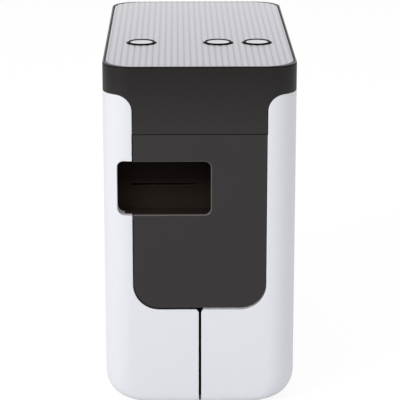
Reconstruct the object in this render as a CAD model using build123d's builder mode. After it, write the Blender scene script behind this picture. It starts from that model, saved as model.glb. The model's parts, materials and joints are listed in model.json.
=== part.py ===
from build123d import *
import math
import os

# A desktop label maker. X runs to the viewer's right, the front faces -Y, and Z runs up.
# The origin is on the table, under the middle of the case. All sizes are in millimetres.

# Battery bay: AA cells lying in the base, which sets the size of the foot of the case
cell_diameter = 14.5
cell_length = 50.5
cells_across = 3
cells_along = 2
cell_spacing = 0.4
cell_nub_radius = 2.7
cell_nub_length = 1.4
cell_contact_gap = 0.1
cell_lift = 0.3
bay_side_room = 0.5
bay_end_room = 2.5
bay_head_room = 0.7
bay_wall = 1.8
contact_thickness = 0.5
contact_width = 9.0
spring_wide_radius = 5.0
spring_narrow_radius = 3.0
battery_cover_thickness = 1.7
battery_cover_ledge = 0.75
battery_cover_gap = 0.2
battery_cover_stub_radius = 0.6
finger_notch_radius = 6.0
finger_notch_depth = 0.8

# Case
wall = 2.2
plan_corner_radius = 11.4
bottom_radius_extra = 0.2
foot_end_radius = 3.6
foot_steps = 10
side_margin = 2.95
end_margin = 1.1
base_flange = 8.7
foot_stand = 0.6
shell_gap = 0.3
tight_gap = 0.15
pick_tolerance = 0.1
door_panel_gap = 0.4
panel_foot_gap = 0.8
panel_ledge_depth = 1.0
door_edge_thickness = 0.8
door_edge_relief = 2.0
door_window_room = 0.3
front_seam = 1.08
seam_tongue_half_width = 4.0
seam_tongue_thickness = 1.2
seam_tongue_lap = 6.0
seam_tongue_foot = 3.5
seam_tongue_setback = 2.0
seam_fin_inset = 0.5
seam_flare = 1.4
seam_flare_height = 1.2

# Front face, from the bottom up
panel_half_width = 26.9
panel_bottom = 42.7
panel_height = 73.0
panel_corner_radius = 10.4
apron_height = 16.1
apron_fillet_radius = 6.8
cap_height = 11.2

# Cap and top plate
cap_edge_radius = 0.5
top_rim = 0.7
plate_gap = 0.6
plate_corner_radius = 12.9
plate_thickness = 1.0
top_skin = 2.0

# Tape window and the exit recess behind it
window_right = 4.4
window_width = 37.4
window_rise = 39.6
window_height = 22.0
window_corner_radius = 2.6
window_bevel = 0.4
notch_lip = 1.6
notch_depth = 7.0
chute_depth = 10.5
chute_wall = 1.7
chute_left_reach = 1.0
chute_slot_half_height = 0.5
notch_step = 3.1
notch_step_depth = 3.0
tape_rise = 9.85

# Buttons
power_button_x = -23.9
mode_button_x = 8.3
feed_button_x = 24.6
button_setback = 50.5
button_hole_radius = 6.45
button_side_gap = 0.5
button_face_rise = 0.15
button_ring_radius = 5.5
button_ring_width = 0.8
button_ring_height = 0.45
button_disc_rise = 0.1
button_flange_width = 1.0
button_flange_thickness = 0.7
button_stem_radius = 2.5
button_travel = 0.8
switch_clearance = 0.2
switch_side = 6.0
switch_height = 3.5
switch_plunger_radius = 1.7
switch_plunger_height = 0.7
button_board_thickness = 1.6
button_board_half_width = 33.0
button_board_half_depth = 12.0
button_board_post_radius = 2.2
button_board_post_inset = 3.4

# Door hinge
hinge_inset = 10.0
knuckle_radius = 2.2
knuckle_gap = 0.4
hinge_pin_radius = 1.0
hinge_play = 0.08
hinge_pin_foot = 10.0
fixed_knuckle_length = 12.0
low_knuckle_top = 24.0
door_rib_depth = 2.4
door_rib_thickness = 1.2
door_rib_pitch = 32.0
door_rib_count = 4
door_rib_end = 20.0

# Fits
press_play = 0.02
running_play = 0.06
face_gap = 0.3

# Feet and base screws
foot_radius = 3.5
foot_sink = 0.8
foot_x = 19.5
screw_radius = 1.5
screw_play = 0.1
screw_head_radius = 2.75
screw_head_height = 1.6
base_screw_x = 9.0
base_screw_length = 10.0
leg_radius = 3.5

# Cassette
cassette_thickness = 28.0
cassette_length = 86.0
cassette_height = 62.0
cassette_over_tape = 5.85
cassette_setback = 11.0
cassette_side_gap = 0.8
cassette_wall = 1.4
cassette_corner_radius = 3.0
guide_arm_width = 6.0
head_notch_width = 18.0
head_notch_depth = 15.0
guide_arm_drop = 2.0
tape_width = 24.0
tape_thickness = 0.14
tape_slot_room = 0.7
tape_roll_radius = 20.0
tape_roll_rear = 28.0
tape_roll_rise = 30.0
tape_post_radius = 4.0
ribbon_roll_radius = 8.0
ribbon_roll_front = 18.0
ribbon_roll_rise = 10.0
ribbon_post_radius = 3.0
takeup_radius = 8.6

# Chassis
partition_thickness = 2.2
chassis_floor_thickness = 2.0
shelf_thickness = 2.0
shelf_gap = 0.3
shelf_left_room = 4.5
shelf_rib_thickness = 2.0
end_wall_gap = 0.6
end_wall_thickness = 2.0
partition_over_arm = 6.0
partition_rear_room = 12.0
shell_post_radius = 3.5
shell_post_rear = 10.0
shell_post_front = 7.0
shell_post_low = 60.0
shell_post_high = 112.0
shell_screw_bite = 10.0

# Printing group
platen_from_front = 15.0
platen_radius = 5.5
platen_length = 25.0
platen_shaft_radius = 2.0
platen_slot_room = 1.0
head_gap = 0.35
head_strip_thickness = 0.8
head_strip_half_depth = 3.5
head_plate_half_depth = 5.0
head_plate_height = 6.8
arm_length = 35.0
arm_rise = 14.0
arm_drop = 2.0
arm_cheek_thickness = 1.4
arm_cheek_gap = 0.5
arm_boss_radius = 4.5
arm_neck_radius = 4.0
arm_drop_half_width = 3.4
arm_pin_radius = 2.0
arm_web_thickness = 2.0
arm_swing = 6.0

# Feed gears
gear_module = 0.8
gear_addendum = 0.85
gear_dedendum = 1.2
gear_backlash = 0.24
pressure_angle = 20.0
point_tolerance = 1e-6
drive_teeth = 30
platen_teeth = 18
ribbon_teeth = 20
reduction_small_teeth = 14
reduction_large_teeth = 36
pinion_teeth = 12
ribbon_angle = -80.0
reduction_angle = 15.0
motor_angle = 45.0
gear_boss_height = 1.3
feed_gear_width = 4.0
gear_plane_gap = 0.6
fast_gear_width = 3.8
gear_plate_thickness = 1.2
gear_plate_margin = 5.0
gear_pin_radius = 1.5
spindle_radius = 2.5
standoff_radius = 3.0
standoff_motor_gap = 1.0
low_standoff_reach = 7.0
low_standoff_angle = -50.0
front_standoff_reach = 7.2
front_standoff_angle = 25.0
feed_motor_radius = 12.0
feed_motor_length = 20.0
motor_boss_radius = 3.0
motor_boss_gap = 0.1
motor_shaft_radius = 1.0
motor_shaft_depth = 8.0

# Cutter
lever_gap = 0.6
lever_thickness = 2.5
blade_thickness = 1.0
blade_gap = 0.2
cutter_plate_thickness = 1.5
cutter_pivot_right = 4.6
cutter_pivot_drop = 1.15
cutter_pin_radius = 2.0
cutter_hub_radius = 4.5
blade_open_angle = 12.0
cutter_swing = 16.0
blade_length = 38.5
blade_height = 6.0
carrier_length = 34.0
carrier_height = 4.5
carrier_setback = 2.0
fixed_blade_drop = 0.65
fixed_blade_height = 8.0
fixed_blade_overlap = 2.5
sector_teeth = 50
sector_margin_angle = 14.0
sector_angle = -60.0
cutter_small_teeth = 12
cutter_large_teeth = 30
cutter_pinion_teeth = 12
cutter_motor_angle = -90.0
cutter_gear_width = 3.0
cutter_gear_gap = 0.5
cutter_motor_radius = 10.0
cutter_motor_length = 22.0
cutter_plate_half_width = 33.5
cutter_plate_over = 24.0
cutter_plate_under = 16.0
cutter_slot_half_height = 2.2

# Main board and sockets
board_thickness = 1.6
board_standoff = 2.0
board_post_radius = 2.5
board_side_gap = 1.5
board_right_gap = 2.8
board_front = 30.0
board_rear_gap = 3.8
board_post_inset_x = 4.0
board_post_pitch_x = 14.0
board_post_inset_y = 6.0
usb_x = 11.0
usb_width = 12.0
usb_height = 10.5
usb_depth = 16.0
usb_mouth_width = 8.5
usb_mouth_height = 7.8
usb_mouth_depth = 9.0
usb_tongue_width = 5.6
usb_tongue_height = 3.2
usb_recess = 0.8
socket_hole_gap = 0.3
jack_x = 22.2
jack_width = 9.0
jack_height = 11.0
jack_depth = 14.0
jack_axis_rise = 6.0
jack_bore_radius = 2.75
jack_bore_depth = 9.0
jack_pin_radius = 1.0
jack_hole_radius = 4.0
chip_side = 14.0
chip_height = 1.6
driver_side = 9.0
capacitor_radius = 4.0
capacitor_height = 11.0
capacitor_pitch = 10.0
connector_length = 12.0
connector_depth = 5.0
connector_height = 5.5
connector_pitch = 14.4

# Case outline, worked out from the battery bay outwards
bay_half_width = (cells_across * cell_diameter + (cells_across - 1) * cell_spacing) / 2 + bay_side_room
bay_half_length = cells_along * cell_length / 2 + bay_end_room
base_half_width = bay_half_width + bay_wall
base_half_length = bay_half_length + bay_wall + base_flange
bottom_radius = plan_corner_radius + bottom_radius_extra
half_width = base_half_width + bottom_radius + side_margin
half_depth = base_half_length + plan_corner_radius + end_margin
reach = 2 * half_depth

# Heights
base_top = foot_stand + wall
cover_low = foot_stand + battery_cover_gap / 2
cover_high = cover_low + battery_cover_thickness
ledge_height = cover_high + battery_cover_gap / 2
cell_height = ledge_height + cell_lift + cell_diameter / 2
bay_ceiling = cell_height + cell_diameter / 2 + bay_head_room
bay_top = bay_ceiling + bay_wall
chassis_floor_top = bay_top + chassis_floor_thickness
apron_bottom = panel_bottom + panel_height
cap_bottom = apron_bottom + apron_height
case_top = cap_bottom + cap_height
plate_seat = case_top - plate_thickness
cap_ceiling = plate_seat - top_skin
window_bottom = panel_bottom + window_rise
window_top = window_bottom + window_height
window_left = window_right - window_width
tape_height = window_bottom + tape_rise
tape_middle = window_right - window_width / 2

# Layers behind the front face
front = -half_depth
front_inside = front + wall
chute_back = front + chute_depth
lever_front = chute_back + chute_wall + lever_gap
lever_rear = lever_front + lever_thickness
moving_blade_rear = lever_rear + blade_thickness
fixed_blade_front = moving_blade_rear + blade_gap
cutter_plate_front = fixed_blade_front + blade_thickness
cutter_plate_rear = cutter_plate_front + cutter_plate_thickness

# Cassette place
cassette_left = tape_middle - cassette_thickness / 2
cassette_right = tape_middle + cassette_thickness / 2
cassette_front = cutter_plate_rear + cassette_setback
cassette_rear = cassette_front + cassette_length
cassette_top = tape_height + cassette_over_tape
cassette_bottom = cassette_top - cassette_height
notch_front = cassette_front + guide_arm_width
notch_rear = notch_front + head_notch_width
notch_floor = cassette_top - head_notch_depth
tape_span = (tape_middle - tape_width / 2, tape_middle + tape_width / 2)

# Layers across the gear side
partition_left = cassette_right + cassette_side_gap
partition_right = partition_left + partition_thickness
feed_plane = (partition_right + gear_boss_height, partition_right + gear_boss_height + feed_gear_width)
fast_plane = (feed_plane[1] + gear_plane_gap, feed_plane[1] + gear_plane_gap + fast_gear_width)
gear_plate_left = fast_plane[1] + gear_plane_gap
gear_plate_right = gear_plate_left + gear_plate_thickness

# Hinge place
hinge_x = -half_width + hinge_inset
hinge_y = half_depth - knuckle_radius
rear_cover_left = hinge_x + knuckle_radius + knuckle_gap
rear_cover_right = panel_half_width
knuckle_top = cap_bottom - shell_gap
mid_knuckle = (low_knuckle_top + knuckle_top) / 2
fixed_knuckles = (
    (foot_stand, low_knuckle_top),
    (mid_knuckle - fixed_knuckle_length / 2, mid_knuckle + fixed_knuckle_length / 2),
    (knuckle_top - fixed_knuckle_length, knuckle_top),
)
door_knuckles = tuple(
    (below[1] + face_gap, above[0] - face_gap) for below, above in zip(fixed_knuckles, fixed_knuckles[1:])
)

# Buttons and their board
button_y = front + button_setback
button_radius = button_hole_radius - button_side_gap
button_face = case_top + button_face_rise
button_flange_top = cap_ceiling - face_gap
button_flange_low = button_flange_top - button_flange_thickness
button_stem_foot = button_flange_low - button_travel
switch_top = button_stem_foot - button_travel - switch_clearance
button_board_top = switch_top - switch_plunger_height - switch_height

# Feet and screws
corner_y = bay_half_length + bay_wall + base_flange / 2
screw_counterbore = screw_head_height + face_gap


def along(centre, distance, angle):
    """The point a distance away from a centre, at an angle in degrees."""
    turn = math.radians(angle)
    return (centre[0] + distance * math.cos(turn), centre[1] + distance * math.sin(turn))


def pitch_radius(teeth):
    """Pitch radius of a gear."""
    return gear_module * teeth / 2


def mesh_phase(from_teeth, from_phase, to_teeth, direction):
    """Turn of a gear that puts its gaps on the teeth of a neighbour in the given direction."""
    share = (direction - from_phase) * from_teeth / 360
    return direction + 180 - 360 / to_teeth * (0.5 - share)


# Feed train: the platen gear leaves the drive gear squarely when the arm lifts
platen = (cassette_front + platen_from_front, tape_height + head_gap + platen_radius)
arm_pivot = (platen[0] + arm_length, platen[1] + arm_rise)
arm_corner = (platen[0], arm_pivot[1] - arm_drop)
platen_to_drive = math.degrees(
    math.atan2(arm_rise, arm_length) - math.acos(pitch_radius(platen_teeth) / math.hypot(arm_length, arm_rise))
)
drive = along(platen, pitch_radius(platen_teeth + drive_teeth), platen_to_drive)
ribbon = along(drive, pitch_radius(drive_teeth + ribbon_teeth), ribbon_angle)
reduction = along(drive, pitch_radius(drive_teeth + reduction_small_teeth), reduction_angle)
feed_motor_axis = along(reduction, pitch_radius(reduction_large_teeth + pinion_teeth), motor_angle)
drive_phase = 0.0
platen_phase = mesh_phase(drive_teeth, drive_phase, platen_teeth, platen_to_drive + 180)
ribbon_phase = mesh_phase(drive_teeth, drive_phase, ribbon_teeth, ribbon_angle)
reduction_phase = mesh_phase(drive_teeth, drive_phase, reduction_small_teeth, reduction_angle)
pinion_phase = mesh_phase(reduction_large_teeth, reduction_phase, pinion_teeth, motor_angle)
arm_reach = math.hypot(arm_length, arm_rise)
platen_lifted = along(arm_pivot, arm_reach, 180 + math.degrees(math.atan2(arm_rise, arm_length)) - arm_swing)
standoffs = (
    along(feed_motor_axis, feed_motor_radius + screw_head_radius + standoff_motor_gap, motor_angle),
    along(reduction, pitch_radius(reduction_large_teeth) + low_standoff_reach, low_standoff_angle),
    along(platen, pitch_radius(platen_teeth) + front_standoff_reach, front_standoff_angle),
)

# Rolls in the cassette
tape_roll_axis = (cassette_rear - tape_roll_rear, cassette_bottom + tape_roll_rise)
ribbon_roll_axis = (cassette_front + ribbon_roll_front, cassette_bottom + ribbon_roll_rise)

# Cutter train
cutter_pivot = (window_right + cutter_pivot_right, tape_height - cutter_pivot_drop)
cutter_axis = along(cutter_pivot, pitch_radius(sector_teeth + cutter_small_teeth), sector_angle)
cutter_motor_reach = pitch_radius(cutter_large_teeth + cutter_pinion_teeth)
cutter_motor_axis = along(cutter_axis, cutter_motor_reach, cutter_motor_angle)
sector_phase = sector_angle
cutter_phase = mesh_phase(sector_teeth, sector_phase, cutter_small_teeth, sector_angle)
cutter_pinion_phase = mesh_phase(cutter_large_teeth, cutter_phase, cutter_pinion_teeth, cutter_motor_angle)
cutter_wheel = (lever_front - cutter_gear_gap - cutter_gear_width, lever_front - cutter_gear_gap)

# Shell posts and screws
shell_posts = (
    (cassette_rear + shell_post_rear, shell_post_low),
    (cassette_rear + shell_post_rear, shell_post_high),
    (cutter_plate_rear + shell_post_front, shell_post_high),
)

# Board place
board_left = partition_right + board_side_gap
board_right = half_width - wall - board_right_gap
board_low = chassis_floor_top + board_standoff
board_top = board_low + board_thickness
board_span = (front + board_front, half_depth - wall - board_rear_gap)


def middle(span):
    """Middle of a span."""
    return (span[0] + span[1]) / 2


def block(x_span, y_span, z_span, mode=Mode.ADD):
    """A box between two corners, added to or cut from the piece that is being built."""
    spans = (x_span, y_span, z_span)
    with Locations(tuple(middle(span) for span in spans)):
        Box(*(span[1] - span[0] for span in spans), mode=mode)


def rod_x(centre, radius, span, mode=Mode.ADD):
    """A cylinder along X, round a (Y, Z) centre."""
    with Locations(Location((middle(span), centre[0], centre[1]), (0, 90, 0))):
        Cylinder(radius, span[1] - span[0], mode=mode)


def rod_y(centre, radius, span, mode=Mode.ADD):
    """A cylinder along Y, round an (X, Z) centre."""
    with Locations(Location((centre[0], middle(span), centre[1]), (90, 0, 0))):
        Cylinder(radius, span[1] - span[0], mode=mode)


def rod_z(centre, radius, span, mode=Mode.ADD):
    """A cylinder along Z, round an (X, Y) centre."""
    with Locations((centre[0], centre[1], middle(span))):
        Cylinder(radius, span[1] - span[0], mode=mode)


def hull_x(circles, span, mode=Mode.ADD):
    """A plate across X whose outline wraps circles given as ((Y, Z), radius)."""
    with BuildSketch(Plane.YZ.offset(span[0])) as plate:
        rims = []
        for centre, radius in circles:
            with Locations(centre):
                rims += Circle(radius, mode=Mode.PRIVATE).edges()
        make_hull(rims)
    extrude(plate.sketch, amount=span[1] - span[0], mode=mode)


def gear_outline(teeth, phase):
    """Points of a spur gear with involute flanks, one tooth centred on the phase angle."""
    radius = pitch_radius(teeth)
    base = radius * math.cos(math.radians(pressure_angle))
    root = radius - gear_dedendum * gear_module
    tip = radius + gear_addendum * gear_module
    half_tooth = (math.pi * gear_module / 2 - gear_backlash) / (2 * radius)

    def involute(at):
        slope = math.acos(min(1.0, base / at))
        return math.tan(slope) - slope

    flank = (root, max(root, base), radius, (radius + tip) / 2, tip)
    half_angles = [half_tooth + involute(radius) - involute(max(at, base)) for at in flank]
    points = []
    for tooth in range(teeth):
        centre = math.radians(phase) + 2 * math.pi * tooth / teeth
        rising = [(at, centre - half) for at, half in zip(flank, half_angles)]
        falling = [(at, centre + half) for at, half in zip(flank, half_angles)]
        for at, angle in rising + falling[::-1]:
            point = (at * math.cos(angle), at * math.sin(angle))
            if not points or math.dist(points[-1], point) > point_tolerance:
                points.append(point)
    return points


def gear_face(teeth, phase):
    """The gear's outline as a face of the sketch that is being drawn."""
    with BuildLine() as outline:
        Polyline(*gear_outline(teeth, phase), close=True)
    make_face(outline.edges())


def gear_x(centre, teeth, phase, span):
    """A spur gear on an axis along X."""
    with BuildSketch(Plane((span[0], *centre), x_dir=(0, 1, 0), z_dir=(1, 0, 0))) as toothed:
        gear_face(teeth, phase)
    extrude(toothed.sketch, amount=span[1] - span[0])


def gear_y(centre, teeth, phase, span):
    """A spur gear on an axis along Y."""
    with BuildSketch(Plane((centre[0], span[1], centre[1]), x_dir=(1, 0, 0), z_dir=(0, -1, 0))) as toothed:
        gear_face(teeth, phase)
    extrude(toothed.sketch, amount=span[1] - span[0])


def envelope(inset):
    """The outside of the case, drawn in on every side but the top.

    Its foot rounds widely at the sides and tightly at the front and the back.
    """
    side_turn = bottom_radius - inset
    end_turn = foot_end_radius - inset
    corner = plan_corner_radius - inset
    with BuildPart() as form:
        for step in range(foot_steps + 1):
            angle = math.pi / 2 * step / foot_steps
            level = foot_stand + bottom_radius - side_turn * math.sin(angle)
            below = max(0.0, foot_stand + foot_end_radius - level)
            section_width = half_width - bottom_radius + side_turn * math.cos(angle)
            section_depth = half_depth - foot_end_radius + math.sqrt(max(0.0, end_turn**2 - below**2))
            with BuildSketch(Plane.XY.offset(level)):
                RectangleRounded(2 * section_width, 2 * section_depth, corner)
        loft(ruled=True)
        with BuildSketch(Plane.XY.offset(foot_stand + bottom_radius)):
            RectangleRounded(2 * (half_width - inset), 2 * (half_depth - inset), corner)
        extrude(amount=case_top + inset - foot_stand - bottom_radius)
    return form.part


def cap_zone(clearance):
    """Space of the black cap: a band round the top and an apron on the front, with hollow corners."""
    edge = panel_half_width + clearance
    low = cap_bottom - clearance
    with BuildPart() as zone:
        block((-reach, reach), (-reach, reach), (low, low + reach))
        with BuildSketch(Plane.XZ) as face:
            with BuildLine():
                Polyline(
                    (-reach, low + reach), (-reach, low), (-edge, low), (-edge, apron_bottom - clearance),
                    (edge, apron_bottom - clearance), (edge, low), (reach, low), (reach, low + reach),
                    close=True,
                )
            make_face()
            corners = face.vertices().filter_by(lambda corner: abs(abs(corner.X) - edge) < pick_tolerance)
            fillet(corners.group_by(Axis.Y)[-1], apron_fillet_radius - clearance)
        extrude(amount=reach)
    return zone.part


def panel_zone(clearance, foot_clearance):
    """Space of the black front panel, with its lower corners rounded."""
    with BuildPart() as zone:
        with BuildSketch(Plane.XZ) as face:
            with Locations((0, panel_bottom - foot_clearance)):
                Rectangle(
                    2 * (panel_half_width + clearance), panel_height - shell_gap + foot_clearance + clearance,
                    align=(Align.CENTER, Align.MIN),
                )
            fillet(face.vertices().group_by(Axis.Y)[0], panel_corner_radius + clearance)
        extrude(amount=reach)
    return zone.part


def window_zone(room):
    """The opening that the tape comes out of, through the panel and the door, with some room round it."""
    with BuildPart() as zone:
        with BuildSketch(Plane.XZ.offset(half_depth - chute_depth)) as face:
            with Locations((tape_middle, middle((window_bottom, window_top)))):
                RectangleRounded(window_width + 2 * room, window_height + 2 * room, window_corner_radius + room)
        extrude(amount=reach)
    return zone.part


def base_zone(clearance):
    """Space of the base tray's floor."""
    edge = base_half_width + clearance
    end = base_half_length + clearance
    with BuildPart() as zone:
        block((-edge, edge), (-end, end), (-reach, base_top + clearance))
    return zone.part


outer_form = envelope(0)
inner_form = envelope(wall)
window_form = window_zone(0)
door_window_form = window_zone(door_window_room)
buttons = ((power_button_x, "power"), (mode_button_x, "mode"), (feed_button_x, "feed"))
pieces = {}

# Thin wall that the white shells and the rear cover are cut from
with BuildPart() as case_skin:
    add(outer_form)
    add(inner_form, mode=Mode.SUBTRACT)
skin = case_skin.part

# Hollow under the cap's roof
with BuildPart() as cap_hollow:
    add(inner_form)
    block((-reach, reach), (-reach, reach), (-reach, cap_ceiling), mode=Mode.INTERSECT)

# Black cap with the apron on its front
with BuildPart() as top_cover:
    add(outer_form)
    add(cap_zone(0), mode=Mode.INTERSECT)
    add(cap_hollow.part, mode=Mode.SUBTRACT)
    with BuildSketch(Plane.XY.offset(plate_seat)):
        RectangleRounded(
            2 * (half_width - top_rim), 2 * (half_depth - top_rim), plate_corner_radius + plate_gap
        )
    extrude(amount=plate_thickness, mode=Mode.SUBTRACT)
    for button_x, _ in buttons:
        rod_z((button_x, button_y), button_hole_radius, (cap_ceiling, case_top), mode=Mode.SUBTRACT)
    post_pitch_x = 2 * (button_board_half_width - button_board_post_inset)
    post_pitch_y = 2 * (button_board_half_depth - button_board_post_inset)
    with Locations((0, button_y, middle((button_board_top, cap_ceiling)))):
        with GridLocations(post_pitch_x, post_pitch_y, 2, 2):
            Cylinder(button_board_post_radius, cap_ceiling - button_board_top)
    rim = top_cover.faces().filter_by(Axis.Z).sort_by(Axis.Z)[-1]
    fillet(rim.outer_wire().edges(), cap_edge_radius)
pieces["top_cover"] = top_cover

# Silver plate let into the top
with BuildPart() as top_plate:
    with BuildSketch(Plane.XY.offset(plate_seat)):
        plate_inset = top_rim + plate_gap
        RectangleRounded(
            2 * (half_width - plate_inset), 2 * (half_depth - plate_inset), plate_corner_radius
        )
        for button_x, _ in buttons:
            with Locations((button_x, button_y)):
                Circle(button_hole_radius, mode=Mode.SUBTRACT)
    extrude(amount=plate_thickness)
pieces["top_plate"] = top_plate

# Three buttons: a silver body that slides in the cap, with a black ring standing on it
for button_x, button_name in buttons:
    seat = (button_x, button_y)
    with BuildPart() as button_body:
        rod_z(seat, button_radius, (button_flange_low, button_face))
        flange_radius = button_radius + button_side_gap + button_flange_width
        rod_z(seat, flange_radius, (button_flange_low, button_flange_top))
        rod_z(seat, button_stem_radius, (button_stem_foot, button_flange_low))
        rod_z(seat, button_ring_radius - button_ring_width, (button_face, button_face + button_disc_rise))
    pieces[f"{button_name}_button"] = button_body
    with BuildPart() as button_ring:
        ring_span = (button_face, button_face + button_ring_height)
        rod_z(seat, button_ring_radius, ring_span)
        rod_z(seat, button_ring_radius - button_ring_width, ring_span, mode=Mode.SUBTRACT)
    pieces[f"{button_name}_button_ring"] = button_ring

# Tongue of the front panel, which runs down behind the seam between the white shells
tongue_sides = (-seam_tongue_half_width, seam_tongue_half_width)
tongue_front = front_inside + seam_tongue_setback
tongue_foot = base_top + shell_gap
with BuildPart() as seam_tongue:
    block(
        tongue_sides, (tongue_front, tongue_front + seam_tongue_thickness),
        (tongue_foot, panel_bottom + seam_tongue_lap),
    )
    block(
        tongue_sides, (tongue_front, seam_tongue_foot - base_half_length),
        (tongue_foot, tongue_foot + seam_tongue_thickness),
    )
    block(
        tongue_sides, (front_inside - wall / 2, tongue_front + seam_tongue_thickness),
        (panel_bottom + door_panel_gap, panel_bottom + seam_tongue_lap),
    )

# Fin of the tongue, which fills the foot of the seam
with BuildPart() as seam_fin:
    add(envelope(seam_fin_inset))
    fin_half_width = front_seam / 2 - tight_gap
    block(
        (-fin_half_width, fin_half_width), (-reach, -base_half_length - shell_gap),
        (-reach, tongue_foot + seam_tongue_thickness), mode=Mode.INTERSECT,
    )

# Small flare at the top of that seam
flare_top = panel_bottom - panel_foot_gap
flare_foot = flare_top - seam_flare_height
with BuildPart() as seam_top:
    with BuildSketch(Plane.XZ.offset(half_depth - wall)) as flare:
        with BuildLine():
            Polyline(
                (-seam_flare, panel_bottom), (-seam_flare, flare_top), (-front_seam / 2, flare_foot),
                (front_seam / 2, flare_foot), (seam_flare, flare_top), (seam_flare, panel_bottom), close=True,
            )
        make_face()
    extrude(amount=reach)

# Black front panel with the tape window, which is open on the left
with BuildPart() as front_panel:
    add(outer_form)
    add(panel_zone(0, 0), mode=Mode.INTERSECT)
    add(inner_form, mode=Mode.SUBTRACT)
    add(window_form, mode=Mode.SUBTRACT)
    face_edges = front_panel.faces().filter_by(Axis.Y).sort_by(Axis.Y)[0].edges()
    window_edges = face_edges.filter_by(
        lambda edge: window_bottom - shell_gap < edge.center().Z < window_top + shell_gap
        and -panel_half_width + shell_gap < edge.center().X < window_right + shell_gap
    )
    chamfer(window_edges, window_bevel)
    add(seam_tongue.part)
    add(seam_fin.part)
pieces["front_panel"] = front_panel

# Dark recess behind the window, with the tape slot in its back
with BuildPart() as exit_chute:
    chute_right = window_right + chute_wall
    chute_side = -panel_half_width + shell_gap
    notch_step_x = -panel_half_width - notch_step
    chute_low = window_bottom - chute_wall
    chute_high = window_top + chute_wall
    back_left = window_left - chute_left_reach
    block((back_left, chute_right), (chute_back, chute_back + chute_wall), (chute_low, chute_high))
    block((chute_side, chute_right), (front_inside, chute_back), (chute_low, chute_high))
    block(
        (chute_side, window_right), (front_inside, chute_back), (window_bottom, window_top), mode=Mode.SUBTRACT
    )
    slot_x = (tape_span[0] - 2 * tape_slot_room, tape_span[1] + 2 * tape_slot_room)
    chute_slot_z = (tape_height - chute_slot_half_height, tape_height + chute_slot_half_height)
    block(slot_x, (chute_back, chute_back + chute_wall), chute_slot_z, mode=Mode.SUBTRACT)
    for sill in ((chute_low, window_bottom), (window_top, chute_high)):
        block((notch_step_x, chute_side), (front + notch_step_depth + shell_gap, chute_back), sill)
pieces["exit_chute"] = exit_chute

# Strip under the front panel, which is shallow in front of the right shell's ledge
with BuildPart() as panel_foot_strip:
    add(panel_zone(tight_gap, panel_foot_gap))
    block((-reach, reach), (-reach, front + panel_ledge_depth), (-reach, reach), mode=Mode.INTERSECT)

# Room behind the door's thin edge under the front panel
with BuildPart() as door_edge_room:
    add(panel_zone(door_panel_gap, panel_foot_gap + door_edge_relief))
    block((-reach, reach), (front + door_edge_thickness, reach), (-reach, reach), mode=Mode.INTERSECT)

# White right shell, fixed, with the posts that the chassis is screwed to
with BuildPart() as right_shell:
    add(skin)
    add(cap_zone(shell_gap), mode=Mode.SUBTRACT)
    add(panel_zone(tight_gap, tight_gap), mode=Mode.SUBTRACT)
    add(panel_foot_strip.part, mode=Mode.SUBTRACT)
    add(base_zone(shell_gap), mode=Mode.SUBTRACT)
    block(
        (-reach, front_seam / 2), (-reach, base_half_length + shell_gap), (-reach, reach), mode=Mode.SUBTRACT
    )
    add(seam_top.part, mode=Mode.SUBTRACT)
    block(
        (-reach, rear_cover_right + shell_gap), (base_half_length, reach), (-reach, reach), mode=Mode.SUBTRACT
    )
    for post in shell_posts:
        rod_x(post, shell_post_radius, (partition_right, half_width - wall))
        rod_x(
            post, screw_radius + screw_play, (partition_right, partition_right + shell_screw_bite + face_gap),
            mode=Mode.SUBTRACT,
        )
pieces["right_shell"] = right_shell

# Frame round the door's part of the window
with BuildPart() as notch_frame:
    block(
        (window_left - notch_lip, -panel_half_width - door_panel_gap), (front, front + notch_depth),
        (window_bottom - notch_lip, window_top + notch_lip),
    )
    add(door_window_form, mode=Mode.SUBTRACT)
    add(outer_form, mode=Mode.INTERSECT)
    block(
        (notch_step_x - shell_gap, reach), (front + notch_step_depth, reach), (-reach, reach),
        mode=Mode.SUBTRACT,
    )

# White left shell, which is the cassette door, hinged at the back
with BuildPart() as cassette_door:
    add(skin)
    add(cap_zone(shell_gap), mode=Mode.SUBTRACT)
    add(panel_zone(door_panel_gap, panel_foot_gap), mode=Mode.SUBTRACT)
    add(door_edge_room.part, mode=Mode.SUBTRACT)
    add(base_zone(shell_gap), mode=Mode.SUBTRACT)
    block(
        (-front_seam / 2, reach), (-reach, base_half_length + shell_gap), (-reach, reach), mode=Mode.SUBTRACT
    )
    add(seam_top.part, mode=Mode.SUBTRACT)
    block((hinge_x, reach), (base_half_length, reach), (-reach, reach), mode=Mode.SUBTRACT)
    add(door_window_form, mode=Mode.SUBTRACT)
    add(notch_frame.part)
    knuckle_reach = knuckle_radius + knuckle_gap
    for low, high in fixed_knuckles:
        block(
            (hinge_x - knuckle_reach, reach), (hinge_y - knuckle_reach, reach),
            (low - face_gap, high + face_gap), mode=Mode.SUBTRACT,
        )
    for span in door_knuckles:
        rod_z((hinge_x, hinge_y), knuckle_radius, span)
        rod_z((hinge_x, hinge_y), hinge_pin_radius + hinge_play, span, mode=Mode.SUBTRACT)
    side_face = -half_width + wall
    for level in range(door_rib_count):
        rib_low = foot_stand + bottom_radius + door_rib_pitch * level
        block(
            (side_face - wall / 2, side_face + door_rib_depth),
            (front + door_rib_end, half_depth - door_rib_end),
            (rib_low, rib_low + door_rib_thickness),
        )
pieces["cassette_door"] = cassette_door

# Fixed knuckles of the door hinge, trimmed to the case
with BuildPart() as hinge_leaf:
    for low, high in fixed_knuckles:
        rod_z((hinge_x, hinge_y), knuckle_radius, (low, high))
        block((hinge_x, rear_cover_left), (hinge_y - knuckle_radius, half_depth), (low, high))
    add(outer_form, mode=Mode.INTERSECT)

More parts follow.
